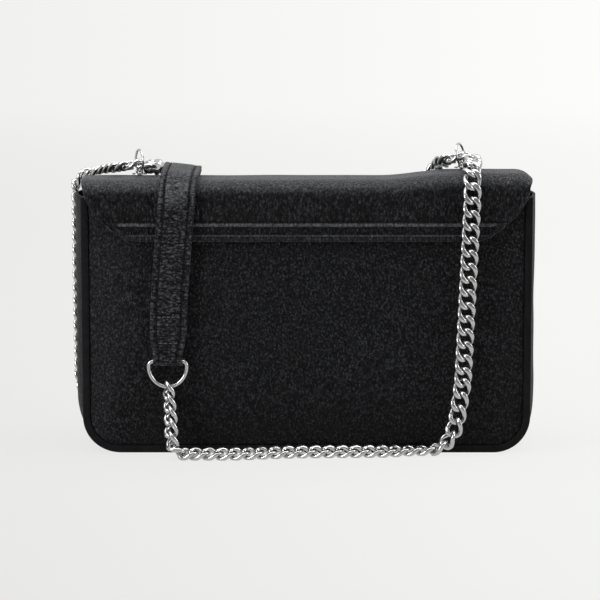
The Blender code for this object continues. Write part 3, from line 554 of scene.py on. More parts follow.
# The strap's painted highlights use a lighter grey.
STRAP = leather_material("strap_leather", (0.014, 0.014, 0.0156), sheen=0.14, kind="UV", cell=1.5,
                         stretch=(0.62, 1.05, 1.0), cross=0.7, depth=0.55, painted_highlight_colour=(0.145, 0.147, 0.16))
RIM = smooth_leather("rim_leather", (0.0085, 0.0085, 0.0095), specular=0.055)
NICKEL = metal_material("polished_nickel", (0.6, 0.6, 0.598), (0.12, 0.26))
STEEL = metal_material("plain_steel", (0.5, 0.5, 0.51), (0.32, 0.48))
CLOTH = cloth_material("woven_lining")
THREAD = smooth_leather("black_thread", (0.004, 0.004, 0.0045), depth=0.03, roughness=(0.45, 0.6),
                        specular=0.2)
# Lighter grey thread for the strap's cross rows.
GREY_THREAD = smooth_leather("light_grey_thread", (0.085, 0.085, 0.088), depth=0.03, roughness=(0.4, 0.55),
                             specular=0.35)
BOARD = board_material("fibre_board")


def dress(obj, mat, body=None, *nodes):
    obj.data.materials.clear()
    obj.data.materials.append(mat)
    if body:
        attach(obj, body)
    if nodes:
        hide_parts(*nodes)
    return obj


# The flap's one profile, from the bottom of its back leg over the top to its front edge


def flap_profile():
    y0, spring = flap_back_y, flap_top - back_bend
    points = [(y0, z) for z in spaced(back_leg_z, spring, 0.4 * MM)[:-1]]
    start, end = y0 + back_bend, flap_front_y - front_bend
    points += arc_at(start, spring, back_bend, 2, 1, 24)[:-1]
    for t in np.linspace(0, 1, 26)[:-1]:
        fall = front_fall * (max(0.0, t - 0.4) / 0.6) ** 2
        points.append((start + (end - start) * t, flap_top - fall))
    brow = flap_top - front_fall - front_bend
    points += arc_at(end, brow, front_bend, 1, 0, 20)[:-1]
    points += [(flap_front_y, z) for z in spaced(brow, front_leg_z, 1.5 * MM)]
    points = np.array(points)
    arc = arc_length(points)
    leg = spring - back_leg_z
    bend, total = leg * 1000, arc[-1] * 1000
    runs = ((1.1, 13.0, 0.3), (13.0, bend, 0.9), (bend, bend + 17, 0.8), (bend + 17, bend + 64, 2.2),
            (bend + 64, bend + 84, 1.0), (bend + 84, total - 36, 2.2), (total - 36, total - 3.2, 1.1))
    marks = np.hstack([
        [0.0, 0.08, 0.25, 0.5, 0.8], *(np.arange(*run) for run in runs),
        total - np.array([3.0, 2.5, 2.1, 1.7, 1.3, 0.9, 0.6, 0.35, 0.15, 0.05, 0.0]),
    ]) * MM
    made = sample(marks, arc, points)
    soft = made.copy()
    for _ in range(3):
        soft[1:-1] = (soft[:-2] + 2 * soft[1:-1] + soft[2:]) / 4
    spread = ease((marks - leg + 2 * MM) / (4 * MM))[:, None]
    return made * (1 - spread) + soft * spread, marks


PROFILE, PROFILE_ARC = flap_profile()

# The slanted ends of the back leg: height, and how far the flap reaches to that side
LEG_LEFT = np.array([(116.6, 90), (117.2, 95.5), (118.2, 98.5), (119.6, 101.5), (123.5, 108), (129.2, 114),
                     (135, 118), (139.4, 120.4), (146, 122.2), (152, 123.6)]) * MM
LEG_RIGHT = np.array([(116.6, 90), (117.2, 94.5), (119.1, 99), (124.6, 106.6), (131.1, 113.2), (139.9, 119.2),
                      (146, 120.8), (152, 122.2)]) * MM


def flap_half(table):
    """The reach to one side: slanted on the back leg, with a rounded corner at the front edge."""
    y, z = PROFILE.T
    drop = np.clip((front_leg_z + flap_corner - z) / flap_corner, 0, 1)
    front = table[-1][1] - 0.026 * (1 - np.sqrt(1 - drop * drop))
    return np.where(y < 0, np.interp(z, table[:, 0], table[:, 1]), front)


def raised(x, z):
    """The flap rises towards its right end."""
    return right_rise * ease((z - hinge_z) / (5 * MM)) * fade(x, 40, 40)


def lifted(points):
    """Raises the flap, and rolls its right end down softly."""
    made = points.copy()
    x, z = points[..., 0], points[..., 2]
    made[..., 2] += raised(x, z)
    end = np.clip((x - 114 * MM) / (8.5 * MM), 0, 1)
    made[..., 2] -= 5.2 * MM * fade(z, 141, 7.5) * (1 - np.sqrt(1 - end**2))
    return made


def pocket_distance(x, z):
    """How far a point is outside the sunk band between the two ridges on the back leg."""
    slant = (z - 125.9 * MM) * 0.75
    left = -(x + 104.6 * MM) * 0.66 - slant
    right = (x - 104.4 * MM) * 0.66 - slant
    return np.maximum.reduce([z - 124.7 * MM, 120.5 * MM - z, left, right])


def flap_relief(x, arc, d):
    """The sunk band, its ridges and creases on the back leg, and a soft top and front."""
    z = back_leg_z + arc
    out = pocket_distance(x, z)
    leg = 1 - fade(arc, 14, 9)
    sunk = 1.05 * (1 - fade(out, 0, 0.5))
    above = 0.6 * fade(out, 0, 0.9) * fade(z, 124, 2)
    seam = ridge(out, 1.05, 1.4) * fade(z, 121.8, 1.5)
    wave = 0.16 * np.clip(wobble(4.2, x, 0.3, z), -1, 1)
    crease = 0.35 * ridge(out, 2.75, 0.6) * fade(z, 122.5, 1.5)
    rolled_edge = 0.45 * ridge(d, 2.1, 0.9) * fade(z, 120.5, 3)
    back = np.maximum(sunk, above) - above * seam + wave * seam + crease + rolled_edge
    soft = 0.28 * (1 + wobble(31, x, arc, 0, 4)) * (1 - leg)
    groove = 0.26 * ridge(d, 3.2, 0.7) * fade(np.interp(arc, PROFILE_ARC, PROFILE[:, 0]), 30, 4)
    return np.clip(back * leg + soft + groove, 0, None) * MM


def flap_painted_light(x, arc, d):
    """Painted light on the flap: painted highlights on the rolled edge, on the two ridges in slanted dashes and on
    the lit bend and top, and painted shade in the crease above the upper ridge.
    """
    z = back_leg_z + arc
    out = pocket_distance(x, z)
    leg = 1 - fade(arc, 14, 6)
    dash = np.clip(0.5 + 1.1 * wobble(1.15, x - 0.9 * z, 0, 0.35 * (z + 0.5 * x), 3), 0, 1)
    # Painted highlight on the upper ridge, broken into slanted dashes; the lower ridge gets a fainter one.
    upper = ridge(out, 1.05, 1.25) * fade(z, 121.8, 1.5) * (0.72 + 1.1 * dash)
    upper = upper * fade(x, -104.5, 5) * fade(-x, -103.5, 5)
    lower = ridge(z, 119.9, 0.6) * fade(d, 0, 1.5) * (0.25 + 0.9 * dash) * fade(-np.abs(x), -100, 4)
    # Painted shade in the crease above the upper ridge.
    painted_crease_shade = 0.75 * ridge(out, 2.75, 0.7) * fade(z, 122.5, 1.5) * leg
    wave = 1.3 * MM * wobble(9, x, 0, 0, 6)
    # The lit bend and top get a painted highlight, crossed by thin darker creases.
    crease = np.clip(0.5 + 1.3 * wobble(1.3, x - 0.8 * z, 0, 0.5 * z + 0.15 * x, 12), 0, 1)
    creased = 1 - 0.6 * crease * (1 - fade(z, 145.2, 2.6))
    bend = creased * (0.14 + 0.42 * fade(z + wave, 142.7, 2.6)) * fade(z, 141, 4) * (1 - fade(arc, 60, 6))
    # A faint painted highlight all along the rolled edge.
    edge_line = 0.1 * (1 - fade(d, 1.9, 0.5))
    return np.maximum.reduce([np.maximum(upper, 0.85 * lower) * leg, edge_line, bend]) - painted_crease_shade


base = xyz(0, PROFILE[:, 0], PROFILE[:, 1])
outward = yz_normals(base)
halves = flap_half(LEG_LEFT), flap_half(LEG_RIGHT)
bend_share = fade(PROFILE_ARC, 18, 8)
# The flap carries its painted highlights and painted shade as a mesh attribute.
flap_skin = sheet(
    "flap_skin", base, outward, ALONG_X, halves, flap_thick * (1 - bend_share) + 1.5 * MM * bend_share,
    relief=flap_relief, cols=150, after=lifted, edge=0.75 * MM, painted_light=flap_painted_light,
)
dress(flap_skin, LEATHER)
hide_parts("flap_leather", "flap_back_leg")
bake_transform(flap_skin)

inside = PROFILE_ARC > hinge_z - back_leg_z + 0.4 * MM
inside &= PROFILE_ARC < PROFILE_ARC[-1] - 4.5 * MM
flap_under = sheet(
    "flap_under", base[inside] - outward[inside] * 1.8 * MM, outward[inside], ALONG_X,
    tuple(half[inside] - 4 * MM for half in halves), 0.9 * MM, after=lifted,
)
dress(flap_under, CLOTH, "flap", "flap_lining")


# Body: panels, rims, gusset


def skewed(obj):
    """The bag stands a little twisted, so its back left edge is further out."""
    for v in obj.data.vertices:
        x, y, z = v.co
        v.co.x = x - 1.5 * MM * float(fade(-x, 85, 35)) * min(1.0, max(0.0, 0.5 - y / (2 * half_depth)))
    return obj


def u_path(half, bottom, top, radius):
    """The U of the bag's outline at Y = 0, from the top left down and round to the top right."""
    low, inner = bottom + radius, half - radius
    points = [(-half, z) for z in spaced(top, low, 3 * MM)[:-1]]
    points += arc_at(-inner, low, radius, 2, 3, 19)[:-1]
    points += [(x, bottom) for x in spaced(-inner, inner, 4 * MM)[:-1]]
    points += arc_at(inner, low, radius, 3, 4, 19)[:-1]
    points += [(half, z) for z in spaced(low, top, 3 * MM)]
    x, z = np.array(points).T
    return xyz(x, 0, z)


def inward_of(path):
    t = tangents(path)
    return xyz(-t[:, 2], 0, t[:, 0])


def u_half(z, half, low, radius):
    """Half the width of a U-shaped sheet at the heights z."""
    short = np.clip(low + radius - z, 0, radius)
    return half - (radius - np.sqrt(radius**2 - short**2))


low = panel_inset
marks = np.hstack([
    low + EDGE[:-1], np.arange(low + 3.4 * MM, low + 16 * MM, 0.8 * MM),
    np.arange(low + 16 * MM, 0.1375, 2 * MM), [0.1385, 0.1395, 0.1402, body_height],
])
half = u_half(marks, half_width - low, low, corner_radius - low)
for end, facing in BOTH_ENDS:

    def relief(x, arc, d):
        z = marks[0] + arc
        swell = fade(d, 0, 22) * 0.75 + fade(d, 0, 55) * 0.45
        waves = wobble(46, x, facing, z, 2) * 0.35 + wobble(17, x, facing, z, 7) * 0.1
        return (0.35 * ridge(d, 0, 1.6) - (swell + waves * fade(d, 0, 15)) * (1 - fade(z, 94, 22))) * MM

    # Painted light on the panels: the far left lighter (painted highlight), and darker towards the bottom across all
    # but the far left (painted shade).
    def shade(x, arc, d):
        low_part = 1 - fade(marks[0] + arc, 12, 45)
        return 0.09 * fade(-x, 80, 30) - 0.28 * low_part * fade(x, -115, 30)

    rows = xyz(0, facing * (half_depth - panel_sunk), marks)
    made = sheet("panel_" + end, rows, (0, facing, 0), ALONG_X, half, 1.8 * MM, relief=relief, cols=110,
                 round_ends=(True, False), edge=0.8 * MM, painted_light=shade)
    dress(skewed(made), PANEL, "bag", end + "_panel")

# Inward from the edge and in from the face, in millimetres
RIM_SECTION = (
    (0.0, 0.9), (0.1, 0.42), (0.42, 0.1), (0.95, 0.0), (1.8, -0.04), (2.8, 0.0), (3.35, 0.14), (3.75, 0.5),
    (3.95, 1.0), (4.0, 1.7), (4.0, 2.9), (3.4, 3.4), (2.2, 3.4), (0.9, 3.4), (0.2, 3.1), (0.0, 2.4), (0.0, 1.6),
)


# The turned seam edge: a flat roll with soft shoulders, swept round the U
path = u_path(half_width, 0.0, body_height, corner_radius)
u, v = np.array(RIM_SECTION).T[..., None] * MM
for end, facing in BOTH_ENDS:
    verts = path[:, None] + inward_of(path)[:, None] * u
    verts[..., 1] += facing * (half_depth - v[:, 0])
    rows, cols = verts.shape[:2]
    faces = grid_faces(rows, cols, wrap_cols=True)
    faces += [range(cols), range((rows - 1) * cols, rows * cols)[::-1]]
    dress(skewed(weld(add("rim_" + end, verts.reshape(-1, 3), faces))), RIM, "bag", end + "_rim")

# The gusset keeps its thickness where it bulges, so both faces follow the same swell
out = -inward_of(path)[:, None]
y = np.linspace(-gusset_half, gusset_half, 37)
share = y / gusset_half
x, z = path[:, :1], path[:, 2:] + 0 * y
ripple = 0.5 * MM * wobble(24, x * 0.2, y, z, 1) * fade(z, 0, 30)
fuller = gusset_bulge * np.where(x < 0, 2.1, 1.1)
swell = (fuller * (1 - share**2) + ripple * (1 - share**4)) * ease(z / corner_radius / 1.3)
outer = path[:, None] + out * swell[..., None]
outer[..., 1] = y
verts, faces = two_faces(outer, outer - out * 1.6 * MM)
rows, cols = outer.shape[:2]
index = np.arange(rows * cols).reshape(rows, cols)
loop = np.hstack([index[0], index[1:, -1], index[-1, -2::-1], index[-2:0:-1, 0]]).tolist()
faces += walls(loop, loop[1:] + loop[:1], rows * cols)
dress(weld(add("gusset_strip", verts, faces)), SHADED_GUSSET, "bag", "gusset")


# Lining: two walls, a strip round the sides and bottom, and a slip pocket

marks = np.hstack([[panel_inset], np.arange(6 * MM, 0.022, 1.5 * MM), np.arange(0.022, 0.1365, 5 * MM),
                   [0.1372, 0.138, lining_top]])
half = u_half(marks, lining_half, panel_inset, lining_radius)
for end, facing in BOTH_ENDS:

    def relief(x, arc, d):
        return 0.12 * MM * (1 + wobble(23, x, facing, arc)) * fade(d, 0, 8)

    wall = sheet("lining_" + end, xyz(0, facing * 25.85 * MM, marks), (0, -facing, 0), ALONG_X, half, lining_thick,
                 relief=relief, cols=40)
    dress(wall, CLOTH, "bag")

path = u_path(lining_half, panel_inset, lining_top, lining_radius)
strip = sheet("lining_strip", path, inward_of(path), ALONG_Y, 26.6 * MM, lining_thick, cols=14)
dress(strip, CLOTH, "bag", "lining")
marks = np.hstack([pocket_bottom + EDGE[:-1], np.arange(0.047, 0.1145, 4 * MM),
                   [0.1155, 0.1162, 0.1172, 0.1178, 0.1182, 0.1185]])


def hem(x, arc, d):
    return (0.3 * ridge(pocket_bottom + arc, 111.5, 0.8) + 0.1 * (1 + wobble(19, x, 0, arc, 3))) * MM


pocket = sheet("pocket_patch", xyz(0, -22.9 * MM, marks), ALONG_Y, ALONG_X, pocket_half, 2.5 * MM,
               relief=hem, cols=40, edge=0.5 * MM)
dress(pocket, CLOTH, "bag", "slip_pocket")


# Leather shoulder piece: two layers, folded round the bar of each D-ring


def strap_sheet(name, rows, outs, side, half, sign):
    """One layer of the strap; its arc starts at the hinge line, and sign is 1 over the top."""

    def relief(x, arc, d):
        """Edge bands, a stitch groove inside each, and a padded, wrinkled middle."""
        middle = fade(d, 3.5, 1.2)
        rough_part = fade(-sign * arc, -1.5, 12)
        wrinkle = wobble(1.7, x * 0.35, sign * arc, 0, 5) * 0.27 * (0.25 + 0.75 * rough_part)
        wrinkle = wrinkle + wobble(5.5, x * 0.35 * 1.6, sign * arc, 0, 9) * 0.17
        band = 0.22 * (1 - middle) * fade(d, 0, 0.9)
        return (0.78 * ridge(d, strap_groove / MM, 0.92) + band + (wrinkle + 0.12) * middle) * MM

    def painted_light(x, arc, d):
        """Painted light: painted highlights on the edge bands and on the lit bend, and painted shade in the stitched
        grooves.
        """
        # Painted highlight on the strap's lit bend near the hinge line, fainter further over the top.
        bent = fade(sign * arc, -6, 8) - 0.48 * fade(sign * arc, 9, 5)
        painted_bend_highlight = 0.62 * bent * fade(d, 3.2, 0.8)
        band = (0.08 + 0.6 * bent) * ridge(d, 1.5, 1.6)
        return np.maximum(band, painted_bend_highlight) - 1.25 * ridge(d, strap_groove / MM, 0.85)

    return sheet(name, rows, outs, side, half, strap_layer, relief=relief, cols=34,
                 round_ends=(False, False), painted_light=painted_light)


def eye_path(start_z, y, facing, x_at):
    """Down the outer face, round the bar, and up the inner face."""
    radius, half_thick, run = 2.45 * MM, strap_thick / 2, 6 * MM
    steps = np.linspace(0, 1, 9)[1:-1]
    down = spaced(start_z, d_bar_z + run, 1.2 * MM)
    swings = (radius - half_thick) * ease(steps)
    rows = [(half_thick, z) for z in down]
    rows += [(half_thick + swing, d_bar_z + run * (1 - t)) for swing, t in zip(swings, steps)]
    rows += arc_at(0, d_bar_z, radius, 0, -2, 17)
    rows += [(swing - radius, d_bar_z + run * t) for swing, t in zip(swings, steps)]
    rows += [(-half_thick, z) for z in down[::-1]]
    return np.array([(x_at(z), y + facing * v, z) for v, z in rows])


def strap_half_at(z):
    """Half the strap's width near its folded end."""
    return np.interp(z, [0.04, 0.0555, 0.0665], [8 * MM, 8 * MM, strap_half])


def back_x(z):
    return np.interp(z, [0.0478, 0.0835, 0.115, hinge_z], [-0.0763, -0.0753, -0.0729, -0.0708])


def front_x(z):
    return np.interp(z, [0.0478, strap_end_z], [-0.0705, -0.0712])


back_rows = eye_path(hinge_z, strap_back_y, -1, back_x)
back_out = -yz_normals(back_rows)
back_half = strap_half_at(back_rows[:, 2])
made = strap_sheet("strap_back", back_rows, back_out, ALONG_X, back_half, -1)
dress(made, STRAP, "back_strap", "strap_back_leg")

# The strap's outer face from the hinge line over the flap and down in front
y, z = PROFILE.T
lift = fit + strap_thick
arch = lift + 2.9 * MM * fade(y, -33, 30) * (1 - 0.75 * fade(y, 6, 26))
kept = ((z >= hinge_z) | (y >= 0)) & ((z >= strap_end_z) | (y <= 0))
crown = (PROFILE + outward[:, 1:] * arch[:, None])[kept]
crown[0] = flap_back_y - lift, hinge_z
crown_x = np.interp(crown[:, 0], [crown[0][0], -0.034, -0.024, -0.004, 0.012, 0.028, crown[-1][0]],
                    [-0.0708, -0.0702, -0.0694, -0.0686, -0.069, -0.0707, -0.0712])
crown = xyz(crown_x, crown[:, 0], crown[:, 1])
outer_rows = np.vstack([crown, eye_path(0.135, strap_front_y, 1, front_x)])
crown_out = yz_normals(outer_rows)[: len(crown)]
top_rows = np.vstack([outer_rows, (crown - crown_out * strap_thick)[::-1]])
top_out = yz_normals(top_rows)
narrowed = (top_rows[:, 1] > 0.02) & (top_rows[:, 2] <= 0.09)
top_half = np.where(narrowed, strap_half_at(top_rows[:, 2]), strap_half)
roll = radians(6.5) * fade(top_rows[:, 2], 142, 10)
top_sides = xyz(np.cos(roll), 0, -np.sin(roll))
made = strap_sheet("strap_over", top_rows, top_out, top_sides, top_half, 1)
dress(made, STRAP, "flap", "strap_top", "strap_front_leg")

# D-rings: a straight bar through the eye of the strap, and a round bow below it
half, drop, corner = 10.4 * MM, 13.9 * MM, 2.5 * MM
inner, low = half - corner, d_bar_z - corner
points = [(u, d_bar_z) for u in np.linspace(-inner, inner, 9)]
points += arc_at(inner, low, corner, 1, 0, 8)[1:]
points += arc_at(0, low, half, 0, -2, 33, tall=drop - corner)[1:]
points += arc_at(-inner, low, corner, 2, 1, 8)[1:-1]
for name, x, y, body, node_name in (
    ("d_ring_behind", strap_foot_x, strap_back_y, "back_strap", "d_ring_back"),
    ("d_ring_fore", foot_x, strap_front_y, "flap", "d_ring_front"),
):
    made = add(name, *tube([(x + u, y, z) for u, z in points], d_ring_wire / 2, sides=16, closed=True))
    dress(made, NICKEL, body, node_name)


# Rings, staples and washers on the flap


def seat(x):
    return flap_top + (right_rise if x > 0 else 0.0)


FOOT = [(0, 0.7), (2.6, 0.7), (3.7, 0.62), (4.1, 0.4), (4.2, 0.15), (4.1, 0.0), (0, 0.0)]
RIVET = [(0, 0), (1.2, 0), (1.2, -3.2), (0, -3.2)]
WASHER = [(0, 0.8), (3.7, 0.8), (4.0, 0.6), (4.0, 0.2), (3.7, 0), (1.6, 0), (1.2, -0.25), (0, -0.4)]

for name, x, yaw, lean in (("left", ring_left_x, 19.0, 0.0), ("right", ring_right_x, -19.0, -10.0)):
    foot_z = seat(x) + fit
    centre = Vector((x, 0, seat(x) + 2 * fit + ring_foot + ring_wire / 2))
    spin = Matrix.Rotation(radians(yaw), 4, "Z")
    turn = spin @ Matrix.Rotation(radians(lean), 4, "Y")
    rise = ring_half_height - 0.7 * MM
    loop = [Vector((0, ring_half_depth * sin(a), rise * (1 - cos(a))))
            for a in np.linspace(0, 2 * pi, 49)[:-1]]
    ring = add("ring_wire_" + name, *tube([centre + turn @ v for v in loop], ring_wire / 2, sides=14, closed=True))
    dress(ring, NICKEL, "ring_" + name, "ring_" + name)
    reach = (ring_wire + staple_wire) / 2 + fit
    low = foot_z + 0.3 * MM - centre.z
    arch = [(-reach, low)] + arc_at(0, 0, reach, 2, 0, 15) + [(reach, low)]
    place = Matrix.Translation((x, 0, foot_z))
    parts = [
        lathe(FOOT, place),
        tube([centre + spin @ Vector((u, 0, h)) for u, h in arch], staple_wire / 2),
        lathe(RIVET, place, 20),
    ]
    dress(add("ring_foot_" + name, *merge(parts)), NICKEL, "flap", "ring_base_" + name)
    under = Matrix.Translation((x, 0, seat(x) - flap_thick - fit - 0.8 * MM))
    dress(add("ring_washer_" + name, *lathe(WASHER, under)), STEEL, "flap", "ring_plate_" + name)


# Magnetic snap, and the stiffening boards

SOCKET = [(3.6, 0), (3.6, 1.1), (3.9, 1.38), (4.6, 1.4), (7.4, 1.4), (8.1, 1.2), (8.5, 0.8), (8.5, 0), (3.6, 0)]
STUD = [(0, 1.8), (1.8, 1.8), (2.2, 1.55), (2.2, 1.2), (6.6, 1.2), (7.2, 1.0), (7.5, 0.6), (7.5, 0), (0, 0)]
for name, profile, y, way, body, node_name in (
    ("snap_ring", SOCKET, half_depth - panel_sunk + fit, -1, "bag", "snap_socket"),
    ("snap_pin", STUD, flap_front_y - flap_thick - fit, 1, "flap", "snap_stud"),
):
    matrix = Matrix.Translation((0, y, snap_z)) @ Matrix.Rotation(way * pi / 2, 4, "X")
    dress(add(name, *lathe(profile, matrix)), NICKEL, body, node_name)

for name, mat in (("snap_socket_plate", STEEL), ("back_board", BOARD), ("front_board", BOARD), ("base_board", BOARD)):
    NODES[name].data.materials.clear()
    NODES[name].data.materials.append(mat)


# Curb chain: every link a round wire oval, turned a quarter about its length

link_pitch = 0.0074
route_step = 0.00815
link_half = 0.004
link_wire = 0.0021
drawn_wire = 0.00268
chain_thick = 0.0054
link_overlap = 0.00055
link_fill = 0.12
behind_y = -0.037
swag_y = 0.0436
UP, BACK, FRONT, LEFT = (0, 0, 1), (0, -1, 0), (0, 1, 0), (-1, 0, 0)
HALF_OPEN = (-0.9, 0.42, 0)
LAID, RISEN = (0, -0.3, 1), (0.79, 0.61, 0)
link_points = 30


def smooth_route(route, per_span=24):
    """Points and facings along a curve through the route's places."""
    places, flats = (np.array(part, float) for part in zip(*((row[:3], row[3]) for row in route)))
    padded = np.vstack([2 * places[0] - places[1], places, 2 * places[-1] - places[-2]])
    dense, facing = [], []
    for i in range(len(places) - 1):
        p = padded[i : i + 4]
        k = np.hstack([[0.0], np.cumsum(np.linalg.norm(np.diff(p, axis=0), axis=1) ** 0.5)])
        for s in range(per_span):
            t = k[1] + (k[2] - k[1]) * s / per_span

            def between(a, b, start, end):
                return (k[end] - t) / (k[end] - k[start]) * a + (t - k[start]) / (k[end] - k[start]) * b

            a1, a2, a3 = (between(p[j], p[j + 1], j, j + 1) for j in range(3))
            dense.append(between(between(a1, a2, 0, 2), between(a2, a3, 1, 3), 1, 2))
            facing.append(flats[i] * (1 - s / per_span) + flats[i + 1] * s / per_span)
    return np.array(dense + [places[-1]]), np.array(facing + [flats[-1]])


def link_joints(route, first, last):
    """Where links meet; a negative step starts or ends beyond the route."""
    dense, facing = smooth_route(route)
    lengths = arc_length(dense)
    last = lengths[-1] - last
    count = max(2, round((last - first) / link_pitch))
    inside = np.clip(np.linspace(first, last, count + 1), 0, lengths[-1])
    joints = sample(inside, lengths, dense)
    joints[0] += unit(dense[1] - dense[0]) * min(0, first)
    joints[-1] += unit(dense[-1] - dense[-2]) * max(0, last - lengths[-1])
    return joints, sample(inside, lengths, facing)


def link_mesh(start, end, flat):
    """A squarish wire oval, twisted along its length and filed flat on both faces."""
    chord = np.linalg.norm(end - start)
    along = unit(end - start)
    flat = unit(flat - along * (flat @ along))
    side = np.cross(flat, along)
    middle = (start + end) / 2
    angle = 2 * pi * (np.arange(link_points) + 0.5) / link_points
    c, s = np.cos(angle), np.sin(angle)
    square = 1.0 / (np.abs(c) ** 2.5 + np.abs(s) ** 2.5) ** (1 / 2.5)
    reach = (chord + drawn_wire * 0.9) / 2 * c * square
    spread = (link_half - 0.17 * MM) * s * square
    twist = pi / 2 * reach / chord
    across = spread * (np.cos(twist) + (1 - np.cos(twist)) * 0.43)
    rise = -spread * np.sin(twist) * 0.86
    points = middle + along * reach[:, None] + side * across[:, None] + flat * rise[:, None]
    verts, faces = tube(points, drawn_wire / 2, closed=True)
    high = (verts - middle) @ flat
    over = np.clip(np.abs(high) - 2.25 * MM, 0, None)
    return verts - flat * (np.sign(high) * over * 0.72)[:, None], faces


interlock = -(fit + link_overlap + link_wire * link_fill) / 2
open_end = 0.0
d_hook = d_ring_low + (d_ring_wire + link_wire * (1 + link_fill)) / 2 + fit - (link_wire - link_overlap) / 2


def make_chain(name, body, route, first=interlock, last=interlock):
    joints, flats = link_joints(route, first, last)
    pieces = [link_mesh(joints[i], joints[i + 1], (flats[i] + flats[i + 1]) / 2) for i in range(len(joints) - 1)]
    return dress(add("links_" + name, *merge(pieces)), NICKEL, body, "chain_" + name)


def bend_place(x, row, rise=0.0):
    """Where the chain lies on the back bend, on the row of that number above the hinge line."""
    places = [(flap_back_y, hinge_z), (flap_back_y, hinge_z + 0.8 * MM)]
    places += arc_at(flap_back_y + back_bend, flap_top - back_bend, back_bend, 2, 1, 7)[1:]
    places.append((-0.0031, flap_top))
    (y0, z0), (y, z), (y2, z2) = places[row - 1 : row + 2]
    o = Vector((0, -(z2 - z0), y2 - y0)).normalized()
    reach = fit + rise + chain_thick / 2
    return x, y + o.y * reach, z + raised(x, z) + o.z * reach, tuple(o)


over_staple = 2 * fit + ring_foot + ring_wire + fit + staple_wire + fit + chain_thick / 2
ring_z_left = seat(-1) + over_staple - 1.1 * MM
ring_z_right = seat(1) + over_staple - 0.3 * MM


def lying(y):
    """The height of a chain that lies on the top of the flap."""
    share = max(0.0, ((y + 0.024) / 0.0523 - 0.4) / 0.6)
    shares = (0.0, 1 / 3, 2 / 3, 1.0)
    fall = front_fall * float(np.interp(share, shares, [v * v for v in shares]))
    return flap_top - fall + 2 * fit + chain_thick / 2


# The length behind the bag: from the right ring down, along the floor, and up to the D-ring
drop_top_x, drop_low_x, drop_low, drop_foot_x, drop_foot = 0.0884, 0.0842, 0.04, 0.0802, 0.0155
near, floor_left_x, riser_x, bend, floor_z = -0.0472, -0.062, -0.074, 0.011, 0.0028
x = ring_right_x
make_chain("top_right", "flap", [
    (x, 0, ring_z_right, UP),
    (x + 0.0048, -0.004, ring_z_right - MM, UP),
    (x + 0.0052, -1.8 * route_step, ring_z_right - 2.7 * MM, UP),
    bend_place(drop_top_x, 6, 2 * fit),
    bend_place(drop_top_x, 4, fit),
    bend_place(drop_top_x, 2),
    (drop_top_x, behind_y, hinge_z, BACK),
], last=open_end)
drop = [
    (drop_top_x, behind_y, hinge_z, BACK),
    ((drop_top_x + drop_low_x) / 2, behind_y, (hinge_z + drop_low) / 2, BACK),
    (drop_low_x, behind_y, drop_low, BACK),
]
make_chain("drop_back", "back_strap", drop, first=open_end)
run = [
    drop[-1],
    (drop_foot_x, behind_y, drop_foot, (-0.5, -1, 0)),
    (drop_foot_x - bend / 3, behind_y - fit, drop_foot / 2, (-0.7, -0.4, 1)),
    (drop_foot_x - bend, behind_y - 2 * fit, floor_z + fit, UP),
    (drop_foot_x - 2 * bend, behind_y - 3 * fit, floor_z, UP),
    (drop_foot_x / 2, behind_y - 3 * MM, floor_z, LAID),
    (-0.01, near + 5 * MM, floor_z, LAID),
    (-0.04, near, floor_z, LAID),
    (floor_left_x, near, floor_z, LAID),
]
make_chain("floor_back", "back_strap", run)
make_chain("riser_back", "back_strap", [
    run[-1],
    (riser_x + 2.2 * MM, near, floor_z + MM, (0.7, 0.1, 0.8)),
    (riser_x, near + 1.5 * MM, bend, RISEN),
    ((riser_x + strap_foot_x) / 2 + 0.4 * MM, (strap_back_y + near) / 2, 2 * bend, RISEN),
    (strap_foot_x, strap_back_y, d_hook, (0.9, 0.35, 0)),
], last=open_end)

# The swag in front, from ring to ring
edge = flap_front_y - front_bend / 2
brow = flap_top - front_fall + chain_thick
low = brow - 0.036
lx, rx = foot_x - strap_half - link_wire / 2 - link_half - 2 * fit, ring_right_x - 0.01
ahead = 1.5 * route_step
make_chain("swag", "flap", [
    (ring_left_x, 0, ring_z_left, UP),
    (lx, route_step / 4, ring_z_left - 2.6 * MM, UP),
    (lx, ahead, lying(ahead), UP),
    (lx, edge, brow + chain_thick / 2, (0, 1, 2)),
    (lx + 0.01, swag_y, brow - 0.01, FRONT),
    (lx / 2 + fit, swag_y, low + 0.0045, FRONT),
    (0, swag_y, low, FRONT),
    (rx / 2, swag_y, low + 0.0045, FRONT),
    (rx - 0.01, swag_y, brow - 0.01, FRONT),
    (rx, edge, brow + chain_thick / 2, (0, 1, 2)),
    (ring_right_x - route_step, route_step / 4, ring_z_right - 2.2 * MM, UP),
    (ring_right_x, 0, ring_z_right, UP),
])

# The length at the left: from the ring down the side, along the floor, and up to the front D-ring
left_x, left_y, left_top, front_y, turn_r = -0.1313, 0.034, 0.1425, 0.0455, 0.014
make_chain("top_left", "flap", [
    (ring_left_x, 0, ring_z_left, UP),
    (ring_left_x - route_step, route_step / 4, (ring_z_left + lying(0)) / 2, UP),
    (-0.1238 + route_step, left_y - route_step, lying(left_y - route_step) + 1.3 * MM, UP),
    (left_x + route_step / 4, left_y - fit, left_top + route_step / 2, (-1, 0, 1)),
    (left_x, left_y, left_top, LEFT),
], last=open_end)
low = turn_r + floor_z
drop = [
    (left_x, left_y, left_top, LEFT),
    (left_x, left_y + fit, left_top / 2, LEFT),
    (left_x + fit, left_y + 4 * fit, 2 * low, LEFT),
]
make_chain("drop_left", "front_chain", drop, first=open_end)
run = [
    drop[-1],
    (left_x + floor_z, (left_y + front_y) / 2, low, LEFT),
    (left_x + turn_r / 2, front_y - fit, low / 3, (-1, 0, 1)),
    (left_x + 1.5 * turn_r, front_y, floor_z, UP),
    (foot_x - 2 * turn_r, front_y, floor_z, UP),
    (foot_x - turn_r, front_y, floor_z + fit, UP),
]
